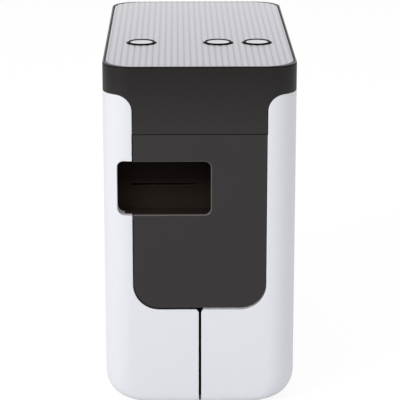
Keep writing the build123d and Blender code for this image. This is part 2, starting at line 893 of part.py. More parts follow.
# Black rear cover with the socket openings
with BuildPart() as rear_cover:
    add(skin)
    block(
        (rear_cover_left, rear_cover_right), (base_half_length + shell_gap, reach),
        (-reach, cap_bottom - shell_gap), mode=Mode.INTERSECT,
    )
    add(hinge_leaf.part)
    rod_z((hinge_x, hinge_y), hinge_pin_radius + press_play, (hinge_pin_foot, reach), mode=Mode.SUBTRACT)
    usb_opening = usb_width / 2 + socket_hole_gap
    block(
        (usb_x - usb_opening, usb_x + usb_opening), (half_depth - 2 * wall, reach),
        (board_top - socket_hole_gap, board_top + usb_height + socket_hole_gap), mode=Mode.SUBTRACT,
    )
    rod_y(
        (jack_x, board_top + jack_axis_rise), jack_hole_radius, (half_depth - 2 * wall, reach),
        mode=Mode.SUBTRACT,
    )
pieces["rear_cover"] = rear_cover

# Steel pin of the door hinge
with BuildPart() as hinge_pin:
    rod_z((hinge_x, hinge_y), hinge_pin_radius, (hinge_pin_foot, knuckle_top))
pieces["hinge_pin"] = hinge_pin

# Base tray with the battery bay
cover_half_width = bay_half_width + battery_cover_ledge
cover_half_length = bay_half_length + battery_cover_ledge
cover_axis = (
    -cover_half_length + battery_cover_gap + battery_cover_thickness / 2,
    cover_low + battery_cover_thickness / 2,
)
with BuildPart() as base_tray:
    block((-base_half_width, base_half_width), (-base_half_length, base_half_length), (foot_stand, base_top))
    box_end = bay_half_length + bay_wall
    block((-base_half_width, base_half_width), (-box_end, box_end), (foot_stand, bay_top))
    block(
        (-bay_half_width, bay_half_width), (-bay_half_length, bay_half_length), (foot_stand, bay_ceiling),
        mode=Mode.SUBTRACT,
    )
    block(
        (-cover_half_width, cover_half_width), (-cover_half_length, cover_half_length),
        (foot_stand, ledge_height), mode=Mode.SUBTRACT,
    )
    stub_hole = cover_half_width + battery_cover_ledge
    rod_x(cover_axis, battery_cover_stub_radius + hinge_play, (-stub_hole, stub_hole), mode=Mode.SUBTRACT)
    with Locations((0, 0, foot_stand + foot_sink / 2)):
        with GridLocations(2 * foot_x, 2 * corner_y, 2, 2):
            Cylinder(foot_radius + screw_play, foot_sink, mode=Mode.SUBTRACT)
    with GridLocations(2 * base_screw_x, 2 * corner_y, 2, 2):
        with Locations((0, 0, middle((foot_stand, base_top)))):
            Cylinder(screw_radius + screw_play, wall, mode=Mode.SUBTRACT)
        with Locations((0, 0, foot_stand + screw_counterbore / 2)):
            Cylinder(screw_head_radius + screw_play, screw_counterbore, mode=Mode.SUBTRACT)
pieces["base_tray"] = base_tray

# Battery cover, which swings down on two stubs at its front edge
with BuildPart() as battery_cover:
    cover_edge = cover_half_width - battery_cover_gap
    cover_rear = cover_half_length - battery_cover_gap
    block((-cover_edge, cover_edge), (cover_axis[0], cover_rear), (cover_low, cover_high))
    rod_x(cover_axis, battery_cover_thickness / 2, (-cover_edge, cover_edge))
    stub_end = cover_half_width + battery_cover_ledge - battery_cover_gap
    rod_x(cover_axis, battery_cover_stub_radius, (-stub_end, stub_end))
    rod_z((0, cover_rear), finger_notch_radius, (cover_low, cover_low + finger_notch_depth), mode=Mode.SUBTRACT)
pieces["battery_cover"] = battery_cover

# AA cells, each column facing the other way from its neighbour
cell_columns = [
    ((column - (cells_across - 1) / 2) * (cell_diameter + cell_spacing), 1 - 2 * (column % 2))
    for column in range(cells_across)
]
stack_end = bay_half_length - contact_thickness
spring_length = 2 * bay_half_length - contact_thickness - cells_along * cell_length + cell_contact_gap
with BuildPart() as battery_cells:
    for column_x, facing in cell_columns:
        for row in range(cells_along):
            nub = facing * (stack_end - row * cell_length)
            shoulder = nub - facing * cell_nub_length
            tail = nub - facing * (cell_length - cell_contact_gap)
            rod_y((column_x, cell_height), cell_nub_radius, sorted((nub, shoulder)))
            rod_y((column_x, cell_height), cell_diameter / 2, sorted((shoulder, tail)))
pieces["battery_cells"] = battery_cells

with BuildPart() as contact_plates:
    for column_x, facing in cell_columns:
        block(
            (column_x - contact_width / 2, column_x + contact_width / 2),
            sorted((facing * stack_end, facing * bay_half_length)),
            (cell_height - contact_width / 2, cell_height + contact_width / 2),
        )
pieces["contact_plates"] = contact_plates

with BuildPart() as contact_springs:
    for column_x, facing in cell_columns:
        spring_middle = -facing * (bay_half_length - spring_length / 2)
        with Locations(Location((column_x, spring_middle, cell_height), (-90 * facing, 0, 0))):
            Cone(spring_wide_radius, spring_narrow_radius, spring_length)
pieces["contact_springs"] = contact_springs

# Rubber feet let into the base
with BuildPart() as rubber_feet:
    with Locations((0, 0, (foot_stand + foot_sink) / 2)):
        with GridLocations(2 * foot_x, 2 * corner_y, 2, 2):
            Cylinder(foot_radius, foot_stand + foot_sink)
pieces["rubber_feet"] = rubber_feet

# Screws that hold the base to the legs of the chassis
screw_seat = foot_stand + screw_counterbore
with BuildPart() as base_screws:
    with GridLocations(2 * base_screw_x, 2 * corner_y, 2, 2):
        with Locations((0, 0, screw_seat - screw_head_height / 2)):
            Cylinder(screw_head_radius, screw_head_height)
        with Locations((0, 0, screw_seat + base_screw_length / 2)):
            Cylinder(screw_radius, base_screw_length)
pieces["base_screws"] = base_screws

# Chassis: floor on the battery box, partition, cassette shelf, legs and bosses
partition_top = arm_pivot[1] + partition_over_arm
partition_rear = half_depth - partition_rear_room
shelf_top = cassette_bottom - shelf_gap
shelf_low = shelf_top - shelf_thickness
shelf_left = -half_width + wall + shelf_left_room
with BuildPart() as chassis:
    block(
        (-base_half_width, base_half_width), (-base_half_length, base_half_length), (bay_top, chassis_floor_top)
    )
    block(
        (partition_left, partition_right), (cutter_plate_rear, partition_rear),
        (chassis_floor_top, partition_top),
    )
    block((shelf_left, partition_left), (cassette_front, cassette_rear), (shelf_low, shelf_top))
    wall_near = cassette_rear + end_wall_gap
    block(
        (shelf_left, partition_left), (cassette_rear, wall_near + end_wall_thickness), (shelf_low, shelf_top)
    )
    block(
        (shelf_left, partition_left), (wall_near, wall_near + end_wall_thickness), (shelf_top, cassette_top)
    )
    for rib_y in (cassette_front, middle((cassette_front, cassette_rear)), cassette_rear):
        block(
            (-base_half_width, partition_left), (rib_y, rib_y + shelf_rib_thickness),
            (chassis_floor_top, shelf_low),
        )
    with Locations((0, 0, middle((base_top, bay_top)))):
        with GridLocations(2 * base_screw_x, 2 * corner_y, 2, 2):
            Cylinder(leg_radius, bay_top - base_top)
    with Locations((0, 0, middle((base_top, screw_seat + base_screw_length + face_gap)))):
        with GridLocations(2 * base_screw_x, 2 * corner_y, 2, 2):
            Cylinder(
                screw_radius + screw_play, screw_seat + base_screw_length + face_gap - base_top,
                mode=Mode.SUBTRACT,
            )
    for standoff in standoffs:
        rod_x(standoff, standoff_radius, (partition_right, gear_plate_left))
    for axis in (drive, reduction):
        rod_x(axis, 2 * gear_pin_radius, (partition_right, feed_plane[0] - face_gap))
    board_posts_y = (board_span[0] + board_post_inset_y, board_span[1] - board_post_inset_y)
    for post_y in board_posts_y:
        for post_x in (board_left + board_post_inset_x, board_left + board_post_inset_x + board_post_pitch_x):
            rod_z((post_x, post_y), board_post_radius, (chassis_floor_top, board_low))
    through = (partition_left, gear_plate_left)
    for axis in (drive, reduction):
        rod_x(axis, gear_pin_radius + press_play, through, mode=Mode.SUBTRACT)
    for standoff in standoffs:
        rod_x(standoff, screw_radius + screw_play, (partition_right, gear_plate_left), mode=Mode.SUBTRACT)
    rod_x(ribbon, spindle_radius + running_play, through, mode=Mode.SUBTRACT)
    rod_x(arm_pivot, arm_pin_radius + press_play, through, mode=Mode.SUBTRACT)
    slot_radius = platen_shaft_radius + platen_slot_room
    hull_x(
        ((platen, slot_radius), (platen_lifted, slot_radius)), (partition_left, partition_right),
        mode=Mode.SUBTRACT,
    )
    for post in shell_posts:
        rod_x(post, screw_radius + screw_play, (partition_left, partition_right), mode=Mode.SUBTRACT)
pieces["chassis"] = chassis

# Screws that hold the right shell to the chassis
with BuildPart() as shell_screws:
    for post in shell_posts:
        rod_x(post, screw_head_radius, (partition_left - screw_head_height, partition_left))
        rod_x(post, screw_radius, (partition_left, partition_right + shell_screw_bite))
pieces["shell_screws"] = shell_screws

# Steel plate outside the gears, which carries the feed motor
with BuildPart() as gear_plate:
    plate_span = (gear_plate_left, gear_plate_right)
    corners = [(axis, gear_plate_margin) for axis in (drive, reduction, ribbon, *standoffs)]
    hull_x([*corners, (feed_motor_axis, feed_motor_radius)], plate_span)
    for axis in (drive, reduction):
        rod_x(axis, gear_pin_radius + press_play, plate_span, mode=Mode.SUBTRACT)
    rod_x(ribbon, gear_pin_radius + running_play, plate_span, mode=Mode.SUBTRACT)
    rod_x(feed_motor_axis, motor_boss_radius + motor_boss_gap, plate_span, mode=Mode.SUBTRACT)
    for standoff in standoffs:
        rod_x(standoff, screw_radius + screw_play, plate_span, mode=Mode.SUBTRACT)
pieces["gear_plate"] = gear_plate

with BuildPart() as gear_plate_screws:
    for standoff in standoffs:
        rod_x(standoff, screw_head_radius, (gear_plate_right, gear_plate_right + screw_head_height))
        rod_x(standoff, screw_radius, (partition_right + face_gap, gear_plate_right))
pieces["gear_plate_screws"] = gear_plate_screws

# Pins that the drive gear and the reduction gear turn on
with BuildPart() as gear_shafts:
    for axis in (drive, reduction):
        rod_x(axis, gear_pin_radius, (partition_left, gear_plate_right))
pieces["gear_shafts"] = gear_shafts

# Feed train
with BuildPart() as drive_gear:
    gear_x(drive, drive_teeth, drive_phase, feed_plane)
    rod_x(drive, gear_pin_radius + running_play, feed_plane, mode=Mode.SUBTRACT)
pieces["drive_gear"] = drive_gear

with BuildPart() as reduction_gear:
    gear_x(reduction, reduction_small_teeth, reduction_phase, (feed_plane[0], fast_plane[0]))
    gear_x(reduction, reduction_large_teeth, reduction_phase, fast_plane)
    rod_x(reduction, gear_pin_radius + running_play, (feed_plane[0], fast_plane[1]), mode=Mode.SUBTRACT)
pieces["reduction_gear"] = reduction_gear

with BuildPart() as motor_pinion:
    gear_x(feed_motor_axis, pinion_teeth, pinion_phase, fast_plane)
    rod_x(feed_motor_axis, motor_shaft_radius, (fast_plane[0], gear_plate_right + motor_shaft_depth))
pieces["motor_pinion"] = motor_pinion

with BuildPart() as feed_motor:
    rod_x(feed_motor_axis, feed_motor_radius, (gear_plate_right, gear_plate_right + feed_motor_length))
    rod_x(feed_motor_axis, motor_boss_radius, (gear_plate_left, gear_plate_right))
    rod_x(
        feed_motor_axis, motor_shaft_radius + running_play,
        (gear_plate_left, gear_plate_right + motor_shaft_depth + face_gap), mode=Mode.SUBTRACT,
    )
pieces["feed_motor"] = feed_motor

# Ribbon spindle, driven through its gear, and the spool on it
with BuildPart() as ribbon_gear:
    gear_x(ribbon, ribbon_teeth, ribbon_phase, feed_plane)
    rod_x(ribbon, spindle_radius, (tape_span[0], feed_plane[0]))
    rod_x(ribbon, gear_pin_radius, (feed_plane[1], gear_plate_right))
pieces["ribbon_gear"] = ribbon_gear

with BuildPart() as ribbon_takeup_spool:
    rod_x(ribbon, takeup_radius, tape_span)
    rod_x(ribbon, spindle_radius, tape_span, mode=Mode.SUBTRACT)
pieces["ribbon_takeup_spool"] = ribbon_takeup_spool

# Platen on its swinging arm
roller_span = (tape_middle - platen_length / 2, tape_middle + platen_length / 2)
left_cheek = (roller_span[0] - arm_cheek_gap - arm_cheek_thickness, roller_span[0] - arm_cheek_gap)
right_cheek = (roller_span[1] + arm_cheek_gap, roller_span[1] + arm_cheek_gap + arm_cheek_thickness)
arm_span = (left_cheek[0], right_cheek[1])
with BuildPart() as platen_roller:
    rod_x(platen, platen_radius, roller_span)
    rod_x(platen, platen_shaft_radius, roller_span, mode=Mode.SUBTRACT)
pieces["platen_roller"] = platen_roller

with BuildPart() as platen_shaft:
    rod_x(platen, platen_shaft_radius, (arm_span[0] - arm_cheek_gap, feed_plane[1]))
pieces["platen_shaft"] = platen_shaft

with BuildPart() as platen_gear:
    gear_x(platen, platen_teeth, platen_phase, feed_plane)
    rod_x(platen, platen_shaft_radius, feed_plane, mode=Mode.SUBTRACT)
pieces["platen_gear"] = platen_gear

with BuildPart() as platen_arm:
    for cheek in (left_cheek, right_cheek):
        hull_x(((arm_pivot, arm_boss_radius), (arm_corner, arm_neck_radius)), cheek)
        drop_sides = (platen[0] - arm_drop_half_width, platen[0] + arm_drop_half_width)
        block(cheek, drop_sides, (platen[1], arm_corner[1]))
        rod_x(platen, arm_neck_radius, cheek)
    rod_x(arm_pivot, arm_boss_radius - running_play, arm_span)
    web_low = arm_corner[1] + arm_neck_radius - arm_web_thickness
    block(
        arm_span, (arm_corner[0] - arm_neck_radius / 2, arm_corner[0] + arm_neck_radius),
        (web_low, web_low + arm_web_thickness),
    )
    rod_x(arm_pivot, arm_pin_radius + running_play, arm_span, mode=Mode.SUBTRACT)
    rod_x(platen, platen_shaft_radius + running_play, arm_span, mode=Mode.SUBTRACT)
pieces["platen_arm"] = platen_arm

with BuildPart() as arm_pivot_pin:
    rod_x(arm_pivot, arm_pin_radius, (arm_span[0] - arm_cheek_gap, partition_right))
pieces["arm_pivot_pin"] = arm_pivot_pin

# Thermal head on its aluminium plate, in the cassette's notch
head_top = tape_height - head_gap
with BuildPart() as head_plate:
    block(
        (roller_span[0], partition_left),
        (platen[0] - head_plate_half_depth, platen[0] + head_plate_half_depth),
        (head_top - head_strip_thickness - head_plate_height, head_top - head_strip_thickness),
    )
pieces["head_plate"] = head_plate

with BuildPart() as print_head:
    block(
        roller_span, (platen[0] - head_strip_half_depth, platen[0] + head_strip_half_depth),
        (head_top - head_strip_thickness, head_top),
    )
pieces["print_head"] = print_head


def cassette_outline(inset):
    """Side view of the cassette as a face: a tray with a notch for the head and an arm that guides the tape."""
    arm_top = cassette_top - guide_arm_drop
    with BuildLine() as outline:
        Polyline(
            (cassette_front + inset, cassette_bottom + inset), (cassette_rear - inset, cassette_bottom + inset),
            (cassette_rear - inset, cassette_top - inset), (notch_rear + inset, cassette_top - inset),
            (notch_rear + inset, notch_floor - inset), (notch_front - inset, notch_floor - inset),
            (notch_front - inset, arm_top - inset), (cassette_front + inset, arm_top - inset),
            close=True,
        )
    make_face(outline.edges())


def cassette_half(x_span, cavity_span):
    """One half of the cassette, hollow, with the slots that the tape runs through."""
    with BuildPart() as half:
        with BuildSketch(Plane.YZ.offset(x_span[0])) as side:
            cassette_outline(0)
            low_corners = side.vertices().group_by(Axis.Y)[0]
            fillet(low_corners, cassette_corner_radius)
        extrude(amount=x_span[1] - x_span[0])
        with BuildSketch(Plane.YZ.offset(cavity_span[0])) as hollow:
            cassette_outline(cassette_wall)
            fillet(hollow.vertices().group_by(Axis.Y)[0], cassette_corner_radius - cassette_wall)
        extrude(amount=cavity_span[1] - cavity_span[0], mode=Mode.SUBTRACT)
        block(
            (tape_span[0] - tape_slot_room / 2, tape_span[1] + tape_slot_room / 2),
            (cassette_front, notch_rear + cassette_wall),
            (tape_height - tape_slot_room, tape_height + tape_slot_room), mode=Mode.SUBTRACT,
        )
    return half.part


# Cassette: the case stands against the partition, and the lid closes it on the door's side
cassette_inside = (cassette_left + cassette_wall, cassette_right - cassette_wall)
with BuildPart() as cassette_case:
    add(cassette_half((tape_middle, cassette_right), (tape_middle, cassette_inside[1])))
    post_span = (cassette_inside[0], cassette_inside[1])
    rod_x(tape_roll_axis, tape_post_radius, post_span)
    rod_x(ribbon_roll_axis, ribbon_post_radius, post_span)
    rod_x(ribbon, spindle_radius + face_gap, (cassette_inside[1], cassette_right), mode=Mode.SUBTRACT)
pieces["cassette_case"] = cassette_case

with BuildPart() as cassette_lid:
    add(cassette_half((cassette_left, tape_middle), (cassette_inside[0], tape_middle)))
pieces["cassette_lid"] = cassette_lid

with BuildPart() as label_tape_roll:
    rod_x(tape_roll_axis, tape_roll_radius, tape_span)
    rod_x(tape_roll_axis, tape_post_radius + running_play, tape_span, mode=Mode.SUBTRACT)
pieces["label_tape_roll"] = label_tape_roll

with BuildPart() as ribbon_roll:
    rod_x(ribbon_roll_axis, ribbon_roll_radius, tape_span)
    rod_x(ribbon_roll_axis, ribbon_post_radius + running_play, tape_span, mode=Mode.SUBTRACT)
pieces["ribbon_roll"] = ribbon_roll

with BuildPart() as label_tape:
    block(
        tape_span, (middle((fixed_blade_front, cutter_plate_front)), notch_rear + 2 * cassette_wall),
        (tape_height - tape_thickness / 2, tape_height + tape_thickness / 2),
    )
pieces["label_tape"] = label_tape

# Cutter: a fixed blade below the tape and a swinging blade above it
with BuildPart() as cutter_plate:
    plate_depth = (cutter_plate_front, cutter_plate_rear)
    leg_left = partition_right + board_side_gap
    plate_low = cutter_pivot[1] - cutter_plate_under
    plate_high = cutter_pivot[1] + cutter_plate_over
    block((-cutter_plate_half_width, cutter_plate_half_width), plate_depth, (plate_low, plate_high))
    block(
        (leg_left, cutter_plate_half_width), plate_depth,
        (cutter_motor_axis[1] - cutter_motor_radius, plate_low),
    )
    cutter_slot_z = (tape_height - cutter_slot_half_height, tape_height + cutter_slot_half_height)
    block(slot_x, plate_depth, cutter_slot_z, mode=Mode.SUBTRACT)
    rod_y(cutter_pivot, cutter_pin_radius + press_play, plate_depth, mode=Mode.SUBTRACT)
    rod_y(cutter_axis, gear_pin_radius + press_play, plate_depth, mode=Mode.SUBTRACT)
    rod_y(cutter_motor_axis, motor_boss_radius + motor_boss_gap, plate_depth, mode=Mode.SUBTRACT)
pieces["cutter_plate"] = cutter_plate

with BuildPart() as fixed_blade:
    blade_top = tape_height - fixed_blade_drop
    block(
        (tape_span[0] - fixed_blade_overlap, tape_span[1] + fixed_blade_overlap),
        (fixed_blade_front, cutter_plate_front), (blade_top - fixed_blade_height, blade_top),
    )
pieces["fixed_blade"] = fixed_blade

blade_direction = 180 - blade_open_angle
blade_frame = Location((0, 0, 0), (0, 0, blade_direction))
with BuildPart() as moving_blade:
    with BuildSketch(Plane((cutter_pivot[0], moving_blade_rear, cutter_pivot[1]), (1, 0, 0), (0, -1, 0))):
        with Locations(blade_frame):
            Rectangle(blade_length, blade_height, align=(Align.MIN, Align.MAX))
        Circle(cutter_hub_radius)
        Circle(cutter_pin_radius + running_play, mode=Mode.SUBTRACT)
    extrude(amount=blade_thickness)
pieces["moving_blade"] = moving_blade

with BuildPart() as cutter_lever:
    with BuildSketch(Plane((cutter_pivot[0], lever_rear, cutter_pivot[1]), (1, 0, 0), (0, -1, 0))):
        gear_face(sector_teeth, sector_phase)
        wedge_reach = 2 * pitch_radius(sector_teeth)
        with BuildLine():
            Polyline(
                (0, 0), along((0, 0), wedge_reach, sector_angle - cutter_swing - sector_margin_angle),
                along((0, 0), wedge_reach, sector_angle + sector_margin_angle), close=True,
            )
        make_face(mode=Mode.INTERSECT)
        Circle(cutter_hub_radius)
        with Locations(blade_frame):
            with Locations((0, -carrier_setback)):
                Rectangle(carrier_length, carrier_height, align=(Align.MIN, Align.MAX))
        Circle(cutter_pin_radius + running_play, mode=Mode.SUBTRACT)
    extrude(amount=lever_thickness)
pieces["cutter_lever"] = cutter_lever

with BuildPart() as cutter_pivot_pin:
    rod_y(cutter_pivot, cutter_pin_radius, (lever_front, cutter_plate_rear))
pieces["cutter_pivot_pin"] = cutter_pivot_pin

with BuildPart() as cutter_gear:
    gear_y(cutter_axis, cutter_small_teeth, cutter_phase, (cutter_wheel[1], cutter_plate_front - blade_gap))
    gear_y(cutter_axis, cutter_large_teeth, cutter_phase, cutter_wheel)
    rod_y(
        cutter_axis, gear_pin_radius + running_play, (cutter_wheel[0], cutter_plate_front), mode=Mode.SUBTRACT
    )
pieces["cutter_gear"] = cutter_gear

with BuildPart() as cutter_gear_pin:
    rod_y(cutter_axis, gear_pin_radius, (cutter_wheel[0] - cutter_gear_gap, cutter_plate_rear))
pieces["cutter_gear_pin"] = cutter_gear_pin

with BuildPart() as cutter_pinion:
    gear_y(cutter_motor_axis, cutter_pinion_teeth, cutter_pinion_phase, cutter_wheel)
    rod_y(cutter_motor_axis, motor_shaft_radius, (cutter_wheel[0], cutter_plate_rear + motor_shaft_depth))
pieces["cutter_pinion"] = cutter_pinion

with BuildPart() as cutter_motor:
    rod_y(cutter_motor_axis, cutter_motor_radius, (cutter_plate_rear, cutter_plate_rear + cutter_motor_length))
    rod_y(cutter_motor_axis, motor_boss_radius, plate_depth)
    rod_y(
        cutter_motor_axis, motor_shaft_radius + running_play,
        (cutter_plate_front, cutter_plate_rear + motor_shaft_depth + face_gap), mode=Mode.SUBTRACT,
    )
pieces["cutter_motor"] = cutter_motor

# Main board with its parts and sockets
with BuildPart() as main_board:
    block((board_left, board_right), board_span, (board_low, board_top))
pieces["main_board"] = main_board

board_middle = (middle((board_left, board_right)), middle(board_span))
with BuildPart() as board_components:
    chip_level = (board_top, board_top + chip_height)
    with Locations((board_middle[0], board_middle[1], middle(chip_level))):
        Box(chip_side, chip_side, chip_height)
    with Locations((board_middle[0], board_middle[1] - 2 * chip_side, middle(chip_level))):
        Box(driver_side, driver_side, chip_height)
    for step in (0, 1):
        capacitor_y = board_middle[1] + chip_side + capacitor_pitch * step
        rod_z((board_middle[0], capacitor_y), capacitor_radius, (board_top, board_top + capacitor_height))
    for step in (-1, 1):
        plug_x = board_middle[0] + step * connector_pitch / 2
        with Locations((plug_x, board_span[0] + connector_depth, board_top + connector_height / 2)):
            Box(connector_length, connector_depth, connector_height)
pieces["board_components"] = board_components

with BuildPart() as usb_socket:
    usb_face = half_depth - usb_recess
    usb_middle = board_top + usb_height / 2
    block(
        (usb_x - usb_width / 2, usb_x + usb_width / 2), (usb_face - usb_depth, usb_face),
        (board_top, board_top + usb_height),
    )
    mouth = (usb_face - usb_mouth_depth, usb_face)
    block(
        (usb_x - usb_mouth_width / 2, usb_x + usb_mouth_width / 2), mouth,
        (usb_middle - usb_mouth_height / 2, usb_middle + usb_mouth_height / 2), mode=Mode.SUBTRACT,
    )
    block(
        (usb_x - usb_tongue_width / 2, usb_x + usb_tongue_width / 2), (mouth[0], mouth[1] - usb_recess),
        (usb_middle - usb_tongue_height / 2, usb_middle + usb_tongue_height / 2),
    )
pieces["usb_socket"] = usb_socket

with BuildPart() as dc_jack:
    jack_face = half_depth - wall - socket_hole_gap
    jack_axis = (jack_x, board_top + jack_axis_rise)
    block(
        (jack_x - jack_width / 2, jack_x + jack_width / 2), (jack_face - jack_depth, jack_face),
        (board_top, board_top + jack_height),
    )
    rod_y(jack_axis, jack_bore_radius, (jack_face - jack_bore_depth, jack_face), mode=Mode.SUBTRACT)
    rod_y(jack_axis, jack_pin_radius, (jack_face - jack_bore_depth, jack_face - socket_hole_gap))
pieces["dc_jack"] = dc_jack

# Button board under the cap, with a switch below each button
with BuildPart() as button_board:
    block(
        (-button_board_half_width, button_board_half_width),
        (button_y - button_board_half_depth, button_y + button_board_half_depth),
        (button_board_top - button_board_thickness, button_board_top),
    )
pieces["button_board"] = button_board

with BuildPart() as tact_switches:
    for button_x, _ in buttons:
        with Locations((button_x, button_y, button_board_top + switch_height / 2)):
            Box(switch_side, switch_side, switch_height)
        rod_z((button_x, button_y), switch_plunger_radius, (button_board_top + switch_height, switch_top))
pieces["tact_switches"] = tact_switches

os.makedirs("parts", exist_ok=True)
for name, piece in pieces.items():
    piece.part.label = name
    export_step(piece.part, f"parts/{name}.step")
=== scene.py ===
"""Dressed model of an upright desktop label maker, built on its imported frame."""

from __future__ import annotations

import json
import logging
import math
from dataclasses import dataclass
from enum import Enum
from typing import Any, Callable, Dict, Optional, Sequence, Tuple, Union

import bmesh
import bpy
import numpy as np
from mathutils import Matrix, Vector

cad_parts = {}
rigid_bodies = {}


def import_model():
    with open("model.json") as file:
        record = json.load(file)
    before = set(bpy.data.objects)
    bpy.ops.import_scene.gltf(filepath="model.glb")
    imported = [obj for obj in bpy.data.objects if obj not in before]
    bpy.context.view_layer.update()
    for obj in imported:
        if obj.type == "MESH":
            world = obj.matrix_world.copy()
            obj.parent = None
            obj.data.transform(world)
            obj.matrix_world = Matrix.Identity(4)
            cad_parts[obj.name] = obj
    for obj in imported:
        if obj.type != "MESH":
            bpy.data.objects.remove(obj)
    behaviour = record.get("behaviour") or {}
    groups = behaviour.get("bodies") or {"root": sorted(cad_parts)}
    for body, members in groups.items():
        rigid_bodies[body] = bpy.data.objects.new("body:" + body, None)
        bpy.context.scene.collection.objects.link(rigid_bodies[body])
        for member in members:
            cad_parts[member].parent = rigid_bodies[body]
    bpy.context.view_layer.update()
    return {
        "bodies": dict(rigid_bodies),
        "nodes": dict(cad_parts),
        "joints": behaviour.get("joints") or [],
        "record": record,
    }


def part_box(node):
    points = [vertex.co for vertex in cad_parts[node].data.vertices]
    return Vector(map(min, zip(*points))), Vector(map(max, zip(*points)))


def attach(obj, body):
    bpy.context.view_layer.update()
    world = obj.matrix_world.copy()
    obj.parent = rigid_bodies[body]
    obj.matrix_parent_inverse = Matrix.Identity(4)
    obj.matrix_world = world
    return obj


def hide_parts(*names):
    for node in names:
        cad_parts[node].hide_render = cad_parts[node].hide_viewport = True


LOG = logging.getLogger("label_maker")
MM = 0.001
WELD = 1e-6
SMOOTH_ANGLE = 32.0
RIB_PITCH = 2.55
RIB_START = -1.065
BUTTON_NAMES = ("power", "mode", "feed")
WHITE = (1.0, 1.0, 1.0, 1.0)

# The curve from screen values to linear light.
SCREEN_FULL = 255.0
SCREEN_KNEE = 0.04045
SCREEN_SLOPE = 12.92
SCREEN_SHIFT = 0.055
SCREEN_POWER = 2.4

# What all the finishes have in common.
MIX_FIRST, MIX_SECOND, MIX_RESULT = 6, 7, 2
BRUSHED = 0.04
GRAIN_DETAIL = 3.0
CLOUD_DETAIL = 2.0
CLOUD_SHARE = 0.65
GRAIN_SHARE = 0.35
EDGE_SAMPLES = 4
EDGE_CONTRAST = 4.0
COAT_ROUGHNESS = 0.12
RIB_SHARPNESS = 3.0
RIB_STRENGTH = 0.85
TRACK_RANDOMNESS = 0.6
TRACK_TURNS = 9.0
TRACK_LEVEL = 0.4
SLEEVE_START = 0.7

# Limits and steps of the surfaces.
CORNER_LIMIT = 0.45
SLAB_EASE_STEPS = 4
PLACE_DIGITS = 4

Array = np.ndarray
Operand = Union["Shade", float]
Rgb = Tuple[int, int, int]
Surface = Tuple[Array, Array]
Box = Tuple[Array, Array]
Choice = Callable[[Array], Array]


class Shade:
    """A value in a finish's node tree; arithmetic on shades adds Math nodes."""

    def __init__(self, tree: "FinishTree", socket: Any) -> None:
        """Keep the tree and the socket that gives the value."""
        self.tree = tree
        self.socket = socket

    def _math(self, operation: str, first: Operand, second: Operand) -> "Shade":
        """Add a Math node.

        Args:
            operation: The node's operation.
            first: The first value.
            second: The second value.

        Returns:
            The node's result.
        """
        return self.tree.node("ShaderNodeMath", {"operation": operation}, {0: first, 1: second})

    def __add__(self, other: Operand) -> "Shade":
        """This value plus another."""
        return self._math("ADD", self, other)

    def __radd__(self, other: Operand) -> "Shade":
        """Another value plus this one."""
        return self._math("ADD", other, self)

    def __sub__(self, other: Operand) -> "Shade":
        """This value less another."""
        return self._math("SUBTRACT", self, other)

    def __rsub__(self, other: Operand) -> "Shade":
        """Another value less this one."""
        return self._math("SUBTRACT", other, self)

    def __mul__(self, other: Operand) -> "Shade":
        """This value times another."""
        return self._math("MULTIPLY", self, other)

    def __rmul__(self, other: Operand) -> "Shade":
        """Another value times this one."""
        return self._math("MULTIPLY", other, self)

    def __truediv__(self, other: Operand) -> "Shade":
        """This value divided by another."""
        return self._math("DIVIDE", self, other)

    def __pow__(self, other: Operand) -> "Shade":
        """This value raised to a power."""
        return self._math("POWER", self, other)

    def above(self, level: float) -> "Shade":
        """One where this value is over a level, otherwise nothing."""
        return self._math("GREATER_THAN", self, level)

    def most(self, other: Operand) -> "Shade":
        """The larger of this value and another."""
        return self._math("MAXIMUM", self, other)

    def least(self, other: Operand) -> "Shade":
        """The smaller of this value and another."""
        return self._math("MINIMUM", self, other)

    def ripple(self) -> "Shade":
        """The sine of this value."""
        return self._math("SINE", self, 0.0)


class FinishTree:
    """The node tree of one material or of the world."""

    def __init__(self, owner: Any) -> None:
        """Start the owner's tree afresh.

        Args:
            owner: A new material or world.
        """
        self.owner = owner
        owner.use_nodes = True
        self.tree = owner.node_tree
        self.tree.nodes.clear()

    def node(
        self,
        kind: str,
        settings: Optional[Dict[str, Any]] = None,
        sockets: Optional[Dict[Union[int, str], Any]] = None,
        output: Union[int, str] = 0,
    ) -> Shade:
        """Add a node: its settings first, then the values or links of its sockets.

        Args:
            kind: Blender's name of the node's type.
            settings: Attributes of the node.
            sockets: Values or shades for its inputs.
            output: The output to hand back.

        Returns:
            The chosen output.
        """
        made = self.tree.nodes.new(kind)
        for key, value in (settings or {}).items():
            setattr(made, key, value)
        for key, value in (sockets or {}).items():
            if isinstance(value, Shade):
                self.tree.links.new(value.socket, made.inputs[key])
            else:
                made.inputs[key].default_value = value
        return Shade(self, made.outputs[output]) if len(made.outputs) else Shade(self, None)

    def place(self) -> Shade:
        """The point of the surface in the object's own frame."""
        return self.node("ShaderNodeTexCoord", output="Object")

    def noise(self, place: Shade, size: float, detail: float) -> Shade:
        """Soft noise.

        Args:
            place: Where the noise is read.
            size: Size of its features in metres.
            detail: How much finer detail it has.

        Returns:
            A value from 0 to 1, about 0.5 on the whole.
        """
        sockets = {"Vector": place, "Scale": 1.0 / size, "Detail": detail}
        return self.node("ShaderNodeTexNoise", None, sockets)

    def blend(self, share: Operand, first: Any, second: Any) -> Shade:
        """Mix two colours.

        Args:
            share: Share of the second colour.
            first: The first colour.
            second: The second colour.

        Returns:
            The mixed colour.
        """
        sockets = {0: share, MIX_FIRST: first, MIX_SECOND: second}
        return self.node("ShaderNodeMix", {"data_type": "RGBA"}, sockets, MIX_RESULT)


